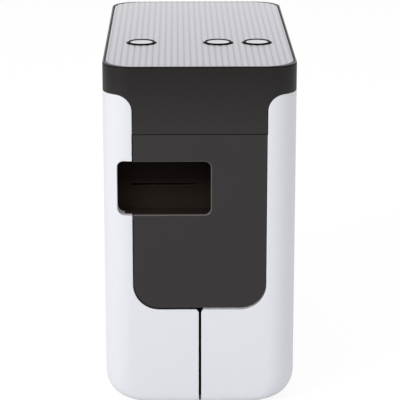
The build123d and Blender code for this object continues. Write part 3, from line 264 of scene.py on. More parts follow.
def linear(colour: Rgb, gain: float = 1.0) -> Tuple[float, float, float, float]:
    """Linear light of a screen colour.

    Args:
        colour: Red, green and blue from 0 to 255.
        gain: Factor on the light.

    Returns:
        The colour with full opacity.
    """
    share = np.asarray(colour) / SCREEN_FULL
    curved = ((share + SCREEN_SHIFT) / (1.0 + SCREEN_SHIFT)) ** SCREEN_POWER
    light = np.where(share <= SCREEN_KNEE, share / SCREEN_SLOPE, curved) * gain
    return (*np.clip(light, 0.0, 1.0).tolist(), 1.0)


class Relief(Enum):
    """The fine relief of a surface, as how far its grain is drawn out along X, Y and Z."""

    GRAINED = (1.0, 1.0, 1.0)
    BRUSHED_X = (BRUSHED, 1.0, 1.0)
    BRUSHED_Y = (1.0, BRUSHED, 1.0)
    BRUSHED_Z = (1.0, 1.0, BRUSHED)


class Pattern(Enum):
    """A drawn pattern that a finish carries on top of its grain."""

    NONE = "none"
    # Darker lines along the plate's grooves: painted shade.
    RIBS = "ribs"
    TRACKS = "tracks"
    SLEEVE = "sleeve"
    WINDING = "winding"


class Axis(Enum):
    """Direction that a fade runs along."""

    ALONG_Y = "Y"
    UP = "Z"


@dataclass(frozen=True)
class Finish:
    """One surface finish.

    Lengths are in millimetres, and the colour is a screen colour.
    """

    name: str
    colour: Rgb
    roughness: float
    metallic: float = 0.0
    coat: float = 0.0
    specular: float = 0.5
    grain: float = 0.35
    relief_height: float = 0.004
    relief: Relief = Relief.GRAINED
    tone: float = 0.06
    tone_size: float = 14.0
    roughness_spread: float = 0.06
    # Edges are painted paler by edge_gain within edge_radius: a painted highlight, which also stands for
    # light wear.
    edge_radius: float = 0.25
    edge_gain: float = 1.25
    edge_share: float = 0.5
    pattern: Pattern = Pattern.NONE
    pattern_colour: Rgb = (128, 128, 128)
    pattern_pitch: float = 1.0
    pattern_start: float = 0.0
    # pattern_fade lets the pattern follow the fade, so the ribs' painted groove shade grows towards the
    # front.
    pattern_fade: float = 0.0
    # The fade paints light and shade: a second colour that takes over from fade_top to fade_foot.
    fade_axis: Axis = Axis.UP
    fade_colour: Optional[Rgb] = None
    fade_foot: float = 0.0
    fade_top: float = 1.0

    def _fade(self, tree: FinishTree, place: Shade) -> Operand:
        """Share of the fade's colour, which grows evenly from the fade's top to its foot; every fade here
        paints light and shade.

        Args:
            tree: The finish's tree.
            place: The point in the object's frame.

        Returns:
            A value from 0 to 1, or 0 for a finish that doesn't fade.
        """
        if self.fade_colour is None:
            return 0.0
        along = tree.node("ShaderNodeSeparateXYZ", None, {0: place}, self.fade_axis.value)
        length = (self.fade_top - self.fade_foot) * MM
        return ((self.fade_top * MM - along) / length).least(1.0).most(0.0)

    def _marks(self, tree: FinishTree, place: Shade) -> Optional[Shade]:
        """Share of the pattern's colour over the surface.

        Args:
            tree: The finish's tree.
            place: The point in the object's frame.

        Returns:
            A value from 0 to 1, or nothing for a plain finish.
        """
        pitch = self.pattern_pitch * MM
        # Each groove between the ribs is painted darker: painted shade.
        if self.pattern is Pattern.RIBS:
            across = tree.node("ShaderNodeSeparateXYZ", None, {0: place}, "X")
            wave = ((across - self.pattern_start * MM) * (2 * math.pi / pitch) + math.pi / 2).ripple()
            return ((0.5 + wave * 0.5) ** RIB_SHARPNESS) * RIB_STRENGTH
        if self.pattern is Pattern.TRACKS:
            cells = tree.node(
                "ShaderNodeTexVoronoi",
                {"feature": "F1", "distance": "MANHATTAN"},
                {"Vector": place, "Scale": 1.0 / pitch, "Randomness": TRACK_RANDOMNESS},
                "Distance",
            )
            return ((cells * TRACK_TURNS).ripple() - TRACK_LEVEL).above(0.0)
        if self.pattern is Pattern.SLEEVE:
            along = tree.node("ShaderNodeSeparateXYZ", None, {0: tree.node("ShaderNodeUVMap")}, "Y")
            return along.above(SLEEVE_START)
        if self.pattern is Pattern.WINDING:
            reach = tree.node("ShaderNodeVectorMath", {"operation": "LENGTH"}, {0: place}, "Value")
            return tree.node(
                "ShaderNodeTexNoise", {"noise_dimensions": "1D"}, {"W": reach, "Scale": 1.0 / pitch}
            )
        return None

    def _colour(self, tree: FinishTree, place: Shade, mottled: Shade, edges: Shade) -> Shade:
        """Colour over the surface: mottled, then faded (painted light and shade), then marked by the
        pattern, then paler at the edges (painted highlight, also light wear).

        Args:
            tree: The finish's tree.
            place: The point in the object's frame.
            mottled: Share of the paler tone.
            edges: How near the point is to an edge, from 0 to 1.

        Returns:
            The colour.
        """
        darkest = linear(self.colour, 1.0 - self.tone)
        palest = linear(self.colour, 1.0 + self.tone)
        colour = tree.blend(mottled, darkest, palest)
        fade = self._fade(tree, place)
        if self.fade_colour is not None:
            colour = tree.blend(fade, colour, linear(self.fade_colour))
        marks = self._marks(tree, place)
        if marks is not None:
            strength = 1.0 - self.pattern_fade + self.pattern_fade * fade
            colour = tree.blend(marks * strength, colour, linear(self.pattern_colour))
        return tree.blend(edges * self.edge_share, colour, linear(self.colour, self.edge_gain))

    def material(self) -> Any:
        """Make the finish's material.

        Returns:
            A material whose grain, tone and edges follow the object's own coordinates.
        """
        tree = FinishTree(bpy.data.materials.new(self.name))
        place = tree.place()
        stretched = tree.node("ShaderNodeMapping", None, {"Vector": place, "Scale": self.relief.value})
        grain = tree.noise(stretched, self.grain * MM, GRAIN_DETAIL)
        clouds = tree.noise(place, self.tone_size * MM, CLOUD_DETAIL)
        rounded = tree.node("ShaderNodeBevel", {"samples": EDGE_SAMPLES}, {"Radius": self.edge_radius * MM})
        true_normal = tree.node("ShaderNodeNewGeometry", output="Normal")
        turned = tree.node(
            "ShaderNodeVectorMath", {"operation": "DOT_PRODUCT"}, {0: rounded, 1: true_normal}, "Value"
        )
        edges = ((1.0 - turned) * EDGE_CONTRAST).least(1.0).most(0.0)
        mottled = (clouds * CLOUD_SHARE + grain * GRAIN_SHARE).least(1.0)
        spread = self.roughness_spread
        roughness = (clouds - 0.5) * spread + self.roughness + (grain - 0.5) * spread
        bump = tree.node(
            "ShaderNodeBump",
            None,
            {"Strength": 1.0, "Distance": self.relief_height * MM, "Height": grain, "Normal": rounded},
        )
        shader = tree.node(
            "ShaderNodeBsdfPrincipled",
            None,
            {
                "Base Color": self._colour(tree, place, mottled, edges),
                "Roughness": roughness,
                "Metallic": self.metallic,
                "Coat Weight": self.coat,
                "Coat Roughness": COAT_ROUGHNESS,
                "Specular IOR Level": self.specular,
                "Normal": bump,
            },
        )
        tree.node("ShaderNodeOutputMaterial", None, {"Surface": shader})
        return tree.owner


WHITE_SHELL = Finish(
    "white_shell_plastic", (231, 232, 238), 0.34, coat=0.15, grain=0.5, relief_height=0.0015, tone=0.012,
    tone_size=30.0, edge_radius=0.6, edge_share=1.0,
)
# The black cap is painted lighter towards its foot, from z 141 down to 116: painted light.
BLACK_CAP = Finish(
    "black_cap_plastic", (30, 27, 26), 0.42, specular=0.22, grain=0.22, relief_height=0.004, tone=0.08,
    edge_radius=0.3, fade_colour=(47, 44, 44), fade_foot=116.0, fade_top=141.0,
)
BLACK_PANEL = Finish(
    "black_panel_plastic", (45, 41, 42), 0.46, specular=0.32, grain=0.22, relief_height=0.004, tone=0.08,
    edge_radius=0.3,
)
# The rim's top is painted darker than the cap and has almost no reflection: the darker colour is painted
# shade.
CAP_RIM = Finish(
    "cap_rim_painted_shade", (24, 21, 21), 0.2, specular=0.05, grain=0.2, relief_height=0.0005, edge_radius=0.1,
    edge_share=0.0,
)
# The window's bevel is painted a paler grey: a painted highlight.
WINDOW_BEVEL = Finish(
    "window_bevel_painted_highlight", (92, 86, 83), 0.3, grain=0.2, relief_height=0.001, tone=0.05, edge_radius=0.1
)
SHADED_PLASTIC = Finish("shaded_plastic", (10, 9, 10), 0.8, specular=0.05, grain=0.4, relief_height=0.004)
REAR_PLASTIC = Finish("rear_cover_plastic", (33, 32, 34), 0.5, grain=0.4, relief_height=0.012, tone=0.1)
# The recess is painted lighter towards its foot, from z 95 down to 82.3: painted light.
RECESS_PLASTIC = Finish(
    "recess_plastic", (17, 9, 6), 0.7, specular=0.06, grain=0.4, relief_height=0.01, tone=0.12,
    fade_colour=(46, 38, 32), fade_foot=82.3, fade_top=95.0,
)
# The sill is painted paler than the recess: painted light.
RECESS_SILL = Finish(
    "recess_sill_painted_light", (42, 33, 29), 0.6, specular=0.1, grain=0.4, relief_height=0.006, tone=0.12
)
# The slot's lower face is painted pale: painted light that keeps the slot from showing as a dark line.
SLOT_LIP = Finish("slot_lip_painted_light", (72, 60, 52), 0.5, specular=0.1, grain=0.3, relief_height=0.004)
BASE_PLASTIC = Finish("base_plastic", (30, 29, 30), 0.55, grain=0.5, relief_height=0.014, tone=0.12)
RING_PLASTIC = Finish(
    "button_ring_plastic", (14, 13, 14), 0.55, specular=0.04, grain=0.2, relief_height=0.002, edge_radius=0.1
)
# The plate is painted darker towards the front, from y 75 to -75, and darker along each groove: both painted
# shade.
RIBBED_SILVER = Finish(
    "ribbed_silver", (196, 194, 201), 0.38, metallic=0.55, grain=0.18, relief_height=0.002,
    relief=Relief.BRUSHED_Y, tone=0.02, edge_gain=1.1, pattern=Pattern.RIBS, pattern_colour=(150, 148, 155),
    pattern_pitch=RIB_PITCH, pattern_start=RIB_START, pattern_fade=0.55, fade_axis=Axis.ALONG_Y,
    fade_colour=(184, 182, 189), fade_foot=-75.0, fade_top=75.0,
)
BUTTON_SILVER = Finish(
    "button_silver", (209, 209, 214), 0.3, metallic=0.45, grain=0.15, relief_height=0.001, tone=0.02,
    edge_radius=0.1,
)
SOFT_RUBBER = Finish("soft_rubber", (38, 37, 37), 0.8, grain=0.6, relief_height=0.03, tone=0.15)
BRIGHT_STEEL = Finish(
    "bright_steel", (196, 196, 199), 0.28, metallic=1.0, grain=0.3, relief_height=0.002,
    relief=Relief.BRUSHED_X, tone=0.05,
)
GROUND_STEEL = Finish(
    "ground_steel", (205, 206, 210), 0.2, metallic=1.0, grain=0.2, relief_height=0.002,
    relief=Relief.BRUSHED_Z,
)
MILLED_ALUMINIUM = Finish(
    "milled_aluminium", (202, 203, 206), 0.35, metallic=1.0, grain=0.4, relief_height=0.004,
    relief=Relief.BRUSHED_X,
)
GLAZED_CERAMIC = Finish("glazed_ceramic", (222, 219, 208), 0.15, coat=0.4, grain=0.5, relief_height=0.001)
ZINC_CAN = Finish(
    "zinc_can", (186, 188, 190), 0.34, metallic=1.0, grain=1.2, relief_height=0.004, tone=0.1, tone_size=5.0
)
GREY_FRAME = Finish("grey_frame_plastic", (116, 117, 120), 0.5, grain=0.5, relief_height=0.01, tone=0.06)
ACETAL = Finish("natural_acetal", (233, 230, 220), 0.35, grain=0.4, relief_height=0.002, tone=0.03)
TURNED_BRASS = Finish("turned_brass", (206, 170, 96), 0.25, metallic=1.0, grain=0.2, relief_height=0.002)
CASSETTE_PLASTIC = Finish("cassette_plastic", (64, 65, 69), 0.45, grain=0.35, relief_height=0.01, tone=0.08)
BLANK_PAPER = Finish(
    "blank_paper", (226, 223, 212), 0.7, grain=0.25, relief_height=0.006, tone=0.04, tone_size=6.0
)
LABEL_TAPE = Finish(
    "label_tape", (236, 236, 232), 0.25, coat=0.3, grain=0.4, relief_height=0.001, tone=0.02,
    pattern=Pattern.WINDING, pattern_colour=(205, 205, 200), pattern_pitch=0.4,
)
INK_FILM = Finish(
    "ink_film", (28, 28, 32), 0.22, coat=0.5, grain=0.3, relief_height=0.001, pattern=Pattern.WINDING,
    pattern_colour=(44, 43, 50), pattern_pitch=0.3,
)
CELL_SLEEVE = Finish(
    "cell_sleeve", (166, 170, 176), 0.3, metallic=0.4, grain=0.6, relief_height=0.001,
    pattern=Pattern.SLEEVE, pattern_colour=(54, 70, 92),
)
SOLDER_MASK = Finish(
    "solder_mask", (24, 92, 56), 0.3, coat=0.5, grain=0.4, relief_height=0.004, pattern=Pattern.TRACKS,
    pattern_colour=(46, 128, 82), pattern_pitch=3.2,
)
SOCKET_INSERT = Finish("socket_insert", (232, 230, 222), 0.45, grain=0.3, relief_height=0.004, tone=0.03)
MOULDED_PACKAGE = Finish("moulded_package", (40, 40, 42), 0.55, grain=0.15, relief_height=0.004)


def grid_quads(rows: int, columns: int, ring: bool, loop: bool = False) -> Array:
    """Quads of a grid: each joins two neighbours of a row to the two of the next row.

    Args:
        rows: Number of rows.
        columns: Points in a row.
        ring: Whether a row's last point joins its first.
        loop: Whether the last row joins the first.

    Returns:
        Indices of the corners, four to a quad.
    """
    row = np.arange(rows if loop else rows - 1)[:, None]
    column = np.arange(columns if ring else columns - 1)[None, :]
    beside = (column + 1) % columns
    here = row * columns
    below = (row + 1) % rows * columns
    corners = (here + column, here + beside, below + beside, below + column)
    return np.stack(np.broadcast_arrays(*corners), axis=-1).reshape(-1, 4)


def eased(corners: Sequence[Tuple[float, float]], radius: float, steps: int = 5) -> Array:
    """Profile with its inner corners eased.

    Each corner C gives way to the curve (1-t)(1-t) P + 2t(1-t) C + t t Q, where P and Q lie a radius
    before and after C, or less on a short side.

    Args:
        corners: The profile's corners, as radius and height.
        radius: Length taken off each side of a corner.
        steps: Points on each curve.

    Returns:
        The points of the profile.
    """
    points = np.asarray(corners, dtype=float)
    here = points[1:-1]
    back = points[:-2] - here
    ahead = points[2:] - here
    back_length = np.linalg.norm(back, axis=1, keepdims=True)
    ahead_length = np.linalg.norm(ahead, axis=1, keepdims=True)
    start = here + back / back_length * np.minimum(radius, CORNER_LIMIT * back_length)
    end = here + ahead / ahead_length * np.minimum(radius, CORNER_LIMIT * ahead_length)
    t = np.linspace(0.0, 1.0, steps)[None, :, None]
    curve = (1 - t) ** 2 * start[:, None] + 2 * t * (1 - t) * here[:, None] + t ** 2 * end[:, None]
    return np.concatenate((points[:1], curve.reshape(-1, 2), points[-1:]))


class Turn(Enum):
    """Axis that a profile is turned about, as the order in which (across, up, along) becomes X, Y, Z."""

    ABOUT_X = (2, 0, 1)
    ABOUT_Y = (0, 2, 1)
    ABOUT_Z = (0, 1, 2)


def lathe(
    profile: Array, centre: Sequence[float], turn: Turn, segments: int = 64, loop: bool = False
) -> Surface:
    """Turn a profile about an axis: the point (r, h) at angle a is (r cos a, r sin a, h) from the centre.

    Args:
        profile: Points as radius and height, in millimetres.
        centre: Where the axis stands, in millimetres.
        turn: Direction of the axis.
        segments: Steps round the axis.
        loop: Whether the profile closes on itself, as a ring's does.

    Returns:
        Points in millimetres, and quads.
    """
    angle = np.linspace(0.0, 2 * math.pi, segments, endpoint=False)[None, :]
    radius = profile[:, :1]
    height = np.broadcast_to(profile[:, 1:], (len(profile), segments))
    frame = np.stack((radius * np.cos(angle), radius * np.sin(angle), height), axis=-1)
    points = frame[..., list(turn.value)] + np.asarray(centre)
    return points.reshape(-1, 3), grid_quads(len(profile), segments, True, loop)


def slab(half: Tuple[float, float], corner: float, height: float, ease: float, turns: int = 12) -> Array:
    """Low slab with a rounded outline and an eased top, standing on the plane of its first two coordinates.

    The outline is a rectangle whose corners are quarter circles: corner centre plus radius times
    (cos a, sin a). Each row of the grid is that outline drawn in by an inset at a height, and the first
    and last rows shrink to the middle.

    Args:
        half: Half the sizes of the outline.
        corner: Radius of its corners.
        height: Height of the slab.
        ease: Size of the round along its top.
        turns: Points on each corner.

    Returns:
        Rows of points, as across, up and along the height.
    """
    angle = np.linspace(0.0, math.pi / 2, turns)
    quarter = np.arange(4)[:, None] * math.pi / 2
    circle = np.stack((np.cos(angle + quarter), np.sin(angle + quarter)), axis=-1).reshape(-1, 2)
    side = np.sign(np.repeat(circle[turns // 2::turns], turns, axis=0))
    centre = side * (np.asarray(half) - corner)
    t = np.linspace(0.0, math.pi / 2, SLAB_EASE_STEPS)
    inset = np.concatenate(([0.0], ease * (1.0 - np.cos(t))))
    level = np.concatenate(([0.0], height - ease + ease * np.sin(t)))
    rows = centre[None] + (corner - inset[:, None, None]) * circle[None]
    point = np.zeros((1, len(circle), 2))
    rows = np.concatenate((point, rows, point))
    level = np.concatenate(([0.0], level, [height]))
    return np.concatenate((rows, np.broadcast_to(level[:, None, None], (*rows.shape[:2], 1))), axis=-1)


def stood(rows: Array, place: Sequence[float], turn: Turn, side: float = 1.0) -> Surface:
    """Stand rows of points on a face.

    Args:
        rows: Rows of points, as across, up and along.
        place: Where their origin goes, in millimetres.
        turn: Which way they stand.
        side: One to stand along the axis, minus one to stand against it.

    Returns:
        Points in millimetres, and quads.
    """
    points = (rows * (1.0, 1.0, side))[..., list(turn.value)] + np.asarray(place)
    return points.reshape(-1, 3), grid_quads(rows.shape[0], rows.shape[1], True)


def wire(path: Array, radius: float, sides: int = 10) -> Surface:
    """Round wire: at each point of the path, a circle across the path, drawn to a point at both ends.

    Args:
        path: Points of the wire's middle, in millimetres.
        radius: Radius of the wire.
        sides: Points round it.

    Returns:
        Points in millimetres, and quads.
    """
    ahead = np.gradient(path, axis=0)
    ahead /= np.linalg.norm(ahead, axis=1, keepdims=True)
    side = np.cross(ahead, (0.0, 1.0, 0.0))
    side /= np.linalg.norm(side, axis=1, keepdims=True)
    up = np.cross(side, ahead)
    angle = np.linspace(0.0, 2 * math.pi, sides, endpoint=False)[None, :, None]
    circles = path[:, None] + radius * (np.cos(angle) * side[:, None] + np.sin(angle) * up[:, None])
    first, last = (np.broadcast_to(path[end], (1, sides, 3)) for end in (0, -1))
    points = np.concatenate((first, circles, last))
    return points.reshape(-1, 3), grid_quads(len(points), sides, True)


def together(surfaces: Sequence[Surface]) -> Surface:
    """Several surfaces as one.

    Args:
        surfaces: Points and quads of each.

    Returns:
        All the points, and the quads with their indices moved on.
    """
    starts = np.cumsum([0] + [len(points) for points, _ in surfaces[:-1]])
    points = np.concatenate([points for points, _ in surfaces])
    quads = np.concatenate([quads + start for (_, quads), start in zip(surfaces, starts)])
    return points, quads


def thickened(surface: Surface, depth: float) -> Surface:
    """Give a level sheet its thickness: the sheet, its copy straight below, and a wall on each open edge.

    An open edge is one that a single quad has.

    Args:
        surface: Points and quads of the sheet.
        depth: Its thickness.

    Returns:
        Points and quads of the closed shell.
    """
    points, quads = surface
    edges = np.stack((quads, np.roll(quads, -1, axis=1)), axis=-1).reshape(-1, 2)
    _, first, times = np.unique(np.sort(edges, axis=1), axis=0, return_index=True, return_counts=True)
    ahead, behind = edges[first[times == 1]].T
    walls = np.stack((behind, ahead, ahead + len(points), behind + len(points)), axis=-1)
    below = points - (0.0, 0.0, depth)
    return np.concatenate((points, below)), np.concatenate((quads, quads[:, ::-1] + len(points), walls))


def within(low: Sequence[float], high: Sequence[float]) -> Choice:
    """A test of whether points lie inside a box.

    Args:
        low: Lowest corner of the box, in millimetres.
        high: Highest corner of the box, in millimetres.

    Returns:
        A function from points to whether each is inside.
    """
    return lambda points: ((points > np.asarray(low)) & (points < np.asarray(high))).all(axis=1)


def span(node: str) -> Box:
    """A node's lowest and highest corners at rest, in millimetres."""
    low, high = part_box(node)
    return np.asarray(low) / MM, np.asarray(high) / MM


def middle(node: str) -> Array:
    """The middle of a node's box, in millimetres."""
    low, high = span(node)
    return (low + high) / 2


class Model:
    """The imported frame, and what the dressed pieces are hung on."""

    def __init__(self, frame: Dict[str, Any]) -> None:
        """Keep the frame and look up which body and slot each node has.
        """
        self.nodes = frame["nodes"]
        record = frame["record"]
        self.body = {node: body for body, nodes in record["behaviour"]["bodies"].items() for node in nodes}
        self.slot = {part["node"]: part["material_slot"] for part in record["subparts"]}
        self.mounts = {mount["name"]: mount["pos_m"] for mount in record["mounts"]}
        self.materials: Dict[str, Any] = {}

    def mount(self, name: str) -> Array:
        """Where one of the record's mounts is, in millimetres."""
        return np.asarray(self.mounts[name]) / MM

    def finish(self, finish: Finish) -> Any:
        """The material of a finish, made once.

        Args:
            finish: The finish.

        Returns:
            Its material.
        """
        if finish.name not in self.materials:
            self.materials[finish.name] = finish.material()
        return self.materials[finish.name]

    def dress(self, node: str, finish: Finish) -> None:
        """Give a CAD node that stays in view its material.

        Args:
            node: Name of the node.
            finish: Its finish.
        """
        shown = self.nodes[node]
        if not shown.material_slots:
            shown.data.materials.append(None)
        for slot in shown.material_slots:
            slot.material = self.finish(finish)
        LOG.info("dressed %s in %s", node, finish.name)

    def added(self, name: str, surface: Surface, node: str, finish: Finish, closed: bool = True) -> Any:
        """Make a new piece that moves with a node.

        Args:
            name: Name of the piece.
            surface: Its points in millimetres, and its faces.
            node: The node that it moves with.
            finish: Its finish.
            closed: Whether the surface is a closed shell, whose faces are turned outwards.

        Returns:
            The piece.
        """
        points, faces = surface
        mesh = bpy.data.meshes.new(name)
        mesh.from_pydata((points * MM).tolist(), [], faces.tolist())
        work = bmesh.new()
        work.from_mesh(mesh)
        bmesh.ops.remove_doubles(work, verts=work.verts, dist=WELD)
        if closed:
            bmesh.ops.recalc_face_normals(work, faces=work.faces)
        work.to_mesh(mesh)
        work.free()
        mesh.shade_smooth()
        mesh.set_sharp_from_angle(angle=math.radians(SMOOTH_ANGLE))
        mesh.materials.append(self.finish(finish))
        piece = bpy.data.objects.new(name, mesh)
        bpy.context.scene.collection.objects.link(piece)
        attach(piece, self.body[node])
        LOG.info("built %s on %s", name, node)
        return piece

    def stand_in(self, name: str, surface: Surface, node: str, finish: Finish, closed: bool = True) -> Any:
        """Put a new piece in a node's place.

        Args:
            name: Name of the piece.
            surface: Its points in millimetres, and its faces.
            node: The node that it stands for.
            finish: Its finish.
            closed: Whether the surface is a closed shell.

        Returns:
            The piece.
        """
        piece = self.added(name, surface, node, finish, closed)
        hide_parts(node)
        return piece

    @staticmethod
    def evened(piece: Any) -> Any:
        """Let faces weigh on a piece's normals by their area, so that flat faces stay flat.

        Args:
            piece: The piece.

        Returns:
            The same piece.
        """
        weighted = piece.modifiers.new("even_shading", "WEIGHTED_NORMAL")
        weighted.keep_sharp = True
        return piece

    def smoothed(self, node: str, finish: Finish) -> Any:
        """A node's own form with its facets joined, so that its curves shade smoothly.

        The node's loose triangles share the corners that lie at one point, and triangles that then have
        no area are left out.

        Args:
            node: Name of the node.
            finish: The piece's finish.

        Returns:
            The piece.
        """
        source = self.nodes[node].data
        flat = np.empty(len(source.vertices) * 3)
        source.vertices.foreach_get("co", flat)
        corners = flat.reshape(-1, 3)
        source.calc_loop_triangles()
        triangles = np.empty(len(source.loop_triangles) * 3, dtype=np.int64)
        source.loop_triangles.foreach_get("vertices", triangles)
        _, first, shared = np.unique(
            np.round(corners / WELD), axis=0, return_index=True, return_inverse=True
        )
        faces = shared.reshape(-1)[triangles].reshape(-1, 3)
        whole = (faces != np.roll(faces, 1, axis=1)).all(axis=1)
        surface = (corners[first] / MM, faces[whole])
        return self.evened(self.stand_in(f"{node}_smooth", surface, node, finish, closed=False))

    def refinish(self, piece: Any, finish: Finish, chosen: Choice) -> None:
        """Give a second finish to some faces.

        Args:
            piece: The piece.
            finish: The finish of those faces.
            chosen: Test of the faces' middles, in millimetres.
        """
        mesh = piece.data
        middles = np.empty(len(mesh.polygons) * 3)
        mesh.polygons.foreach_get("center", middles)
        index = np.empty(len(mesh.polygons), dtype=np.int32)
        mesh.polygons.foreach_get("material_index", index)
        picked = chosen(middles.reshape(-1, 3) / MM)
        index[picked] = len(mesh.materials)
        mesh.materials.append(self.finish(finish))
        mesh.polygons.foreach_set("material_index", index)
        LOG.info("%d faces of %s in %s", int(picked.sum()), piece.name, finish.name)


@dataclass
class TopPlate:
    """The ribbed silver plate on top of the cap. Sizes are in millimetres."""

    corner_radius: float = 12.9
    corner_steps: int = 25
    under_gap: float = 0.1
    groove_half_width: float = 0.8
    groove_depth: float = 0.07
    rib_steps: int = 8
    hole_radius: float = 6.45
    hole_step: float = 0.25
    hole_margin: float = 8.0
    hole_snap: float = 0.08
    edge_strip: float = 0.25
    end_inset: float = 1.8
    front_rows: int = 4
    rear_rows: int = 8

    def __post_init__(self) -> None:
        """Take the outline and thickness from the plate's node, and the holes' places from the buttons'."""
        low, high = span("top_plate")
        self.half_width, self.half_depth, self.top = high
        self.thickness = self.top - low[2] - self.under_gap
        self.holes = np.array([middle(f"{name}_button")[:2] for name in BUTTON_NAMES])

    def _rows(self) -> Array:
        """Places along Y that every column shares, close together where the holes are.

        Returns:
            The places, from front to rear.
        """
        hole_y = self.holes[0, 1]
        near = np.arange(-self.hole_margin, self.hole_margin + self.hole_step, self.hole_step) + hole_y
        last = self.half_depth - self.corner_radius - self.end_inset
        front = np.linspace(-last, near[0], self.front_rows)[:-1]
        rear = np.linspace(near[-1], last, self.rear_rows)[1:]
        return np.concatenate((front, near, rear))

    def _columns(self) -> Array:
        """Places along X, with more of them where the outline turns its corners.

        At angle a of a corner, the outline stands the corner's radius times sin a from the corner's centre.

        Returns:
            The places, from left to right.
        """
        count = int(2 * self.half_width / RIB_PITCH * self.rib_steps) + 1
        angle = np.linspace(0.0, math.pi / 2, self.corner_steps)
        turned = self.half_width - self.corner_radius + self.corner_radius * np.sin(angle)
        spread = np.linspace(-1, 1, count) * (self.half_width - self.edge_strip)
        return np.unique(np.round(np.concatenate((spread, turned, -turned)), PLACE_DIGITS))

    def _sheet(self) -> Surface:
        """The plate's top as a grid over X and Y.

        The first and last rows follow the rounded outline. The height dips by half of (1 + cos) over
        each groove.

        Returns:
            Points and quads.
        """
        x = self._columns()
        inner = self._rows()
        past = np.clip(np.abs(x) - self.half_width + self.corner_radius, 0.0, self.corner_radius)
        end = self.half_depth - self.corner_radius + np.sqrt(self.corner_radius ** 2 - past ** 2)
        strip = np.minimum(self.edge_strip, (end - inner.max()) / 2)
        shared = np.broadcast_to(inner[:, None], (len(inner), len(x)))
        y = np.concatenate(((-end)[None], (strip - end)[None], shared, (end - strip)[None], end[None]))
        across = np.broadcast_to(x, y.shape)
        off_groove = np.abs(np.mod(across - RIB_START + RIB_PITCH / 2, RIB_PITCH) - RIB_PITCH / 2)
        dip = 0.5 + 0.5 * np.cos(math.pi * np.clip(off_groove / self.groove_half_width, 0.0, 1.0))
        points = np.stack((across, y, self.top - self.groove_depth * dip), axis=-1)
        return points.reshape(-1, 3), grid_quads(*y.shape, False)

    def surface(self) -> Surface:
        """The sheet with its holes and its thickness.

        Quads inside a hole are left out, and the corners inside or close to its rim are moved straight
        to it.

        Returns:
            Points and quads.
        """
        points, quads = self._sheet()
        offset = points[:, None, :2] - self.holes[None]
        reach = np.linalg.norm(offset, axis=-1)
        inside = (reach < self.hole_radius + self.hole_snap).any(axis=1)
        quads = quads[~inside[quads].all(axis=1)]
        nearest = np.argmin(reach, axis=1)
        rows = np.arange(len(points))
        out = offset[rows, nearest] / np.maximum(reach[rows, nearest], WELD)[:, None]
        rim = self.holes[nearest] + out * self.hole_radius
        points[:, :2] = np.where(inside[:, None], rim, points[:, :2])
        used, compact = np.unique(quads, return_inverse=True)
        return thickened((points[used], compact.reshape(-1, 4)), self.thickness)

    def build(self, model: Model) -> None:
        """Make the plate.

        Args:
            model: The frame that it stands on.
        """
        model.evened(model.stand_in("ribbed_plate", self.surface(), "top_plate", RIBBED_SILVER))


@dataclass
class PushButton:
    """A black button with a ring standing on it and a silver disc inside. Sizes are in millimetres."""

    name: str
    body_radius: float = 5.95
    stem_radius: float = 2.5
    stem_length: float = 0.8
    flange_thickness: float = 0.7
    ring_width: float = 0.8
    ring_foot: float = 0.02
    crest_side: float = 0.1
    crest_drop: float = 0.05
    lip_rise: float = 0.06
    disc_side: float = 0.04
    disc_margin: float = 0.5
    dish: float = 0.1
    dish_midway: float = 0.8
    ease: float = 0.12

    def __post_init__(self) -> None:
        """Take the axis, the heights and the widest radii from the button's two nodes."""
        low, high = span(f"{self.name}_button")
        ring_low, ring_high = span(f"{self.name}_button_ring")
        self.axis = middle(f"{self.name}_button")[:2]
        self.foot = low[2]
        self.flange_radius = (high - low)[0] / 2
        self.flange_low = self.foot + self.stem_length
        self.flange_top = self.flange_low + self.flange_thickness
        self.top = ring_low[2]
        self.crest = ring_high[2]
        self.ring_radius = (ring_high - ring_low)[0] / 2
        self.ring_bore = self.ring_radius - self.ring_width
        self.disc_top = high[2]

    def _turned(self, corners: Sequence[Tuple[float, float]], loop: bool = False) -> Surface:
        """A profile with eased corners, turned about the button's axis."""
        return lathe(eased(corners, self.ease), (*self.axis, 0.0), Turn.ABOUT_Z, loop=loop)

    def _body(self) -> Surface:
        """The button as a turned profile: stem, flange, body, and a disc that dips towards its middle.

        Returns:
            Points and quads.
        """
        return self._turned((
            (0.0, self.foot), (self.stem_radius, self.foot), (self.stem_radius, self.flange_low),
            (self.flange_radius, self.flange_low), (self.flange_radius, self.flange_top),
            (self.body_radius, self.flange_top), (self.body_radius, self.top), (self.ring_bore, self.top),
            (self.ring_bore - self.disc_side, self.disc_top),
            (self.ring_bore - self.disc_margin, self.disc_top),
            (self.ring_bore / 2, self.disc_top - self.dish * self.dish_midway),
            (0.0, self.disc_top - self.dish),
        ))

    def _ring(self) -> Surface:
        """The ring as a closed profile turned round, with a crest that slopes down to the disc.

        Returns:
            Points and quads.
        """
        shoulder = self.crest - self.crest_drop
        return self._turned((
            (self.ring_bore, self.top), (self.ring_radius, self.top), (self.ring_radius, shoulder),
            (self.ring_radius - self.crest_side, self.crest),
            (self.ring_bore, self.disc_top + self.lip_rise), (self.ring_bore, self.top + self.ring_foot),
        ), loop=True)

    def _on_disc(self, points: Array) -> Array:
        """Whether points lie on the disc inside the ring."""
        out = np.linalg.norm(points[:, :2] - self.axis, axis=1)
        return (out < self.ring_bore) & (points[:, 2] > self.flange_top)

    def build(self, model: Model) -> None:
        """Make the body and the ring.

        Args:
            model: The frame that they stand on.
        """
        body = model.stand_in(f"{self.name}_disc", self._body(), f"{self.name}_button", RING_PLASTIC)
        model.refinish(body, BUTTON_SILVER, self._on_disc)
        model.stand_in(f"{self.name}_ring", self._ring(), f"{self.name}_button_ring", RING_PLASTIC)


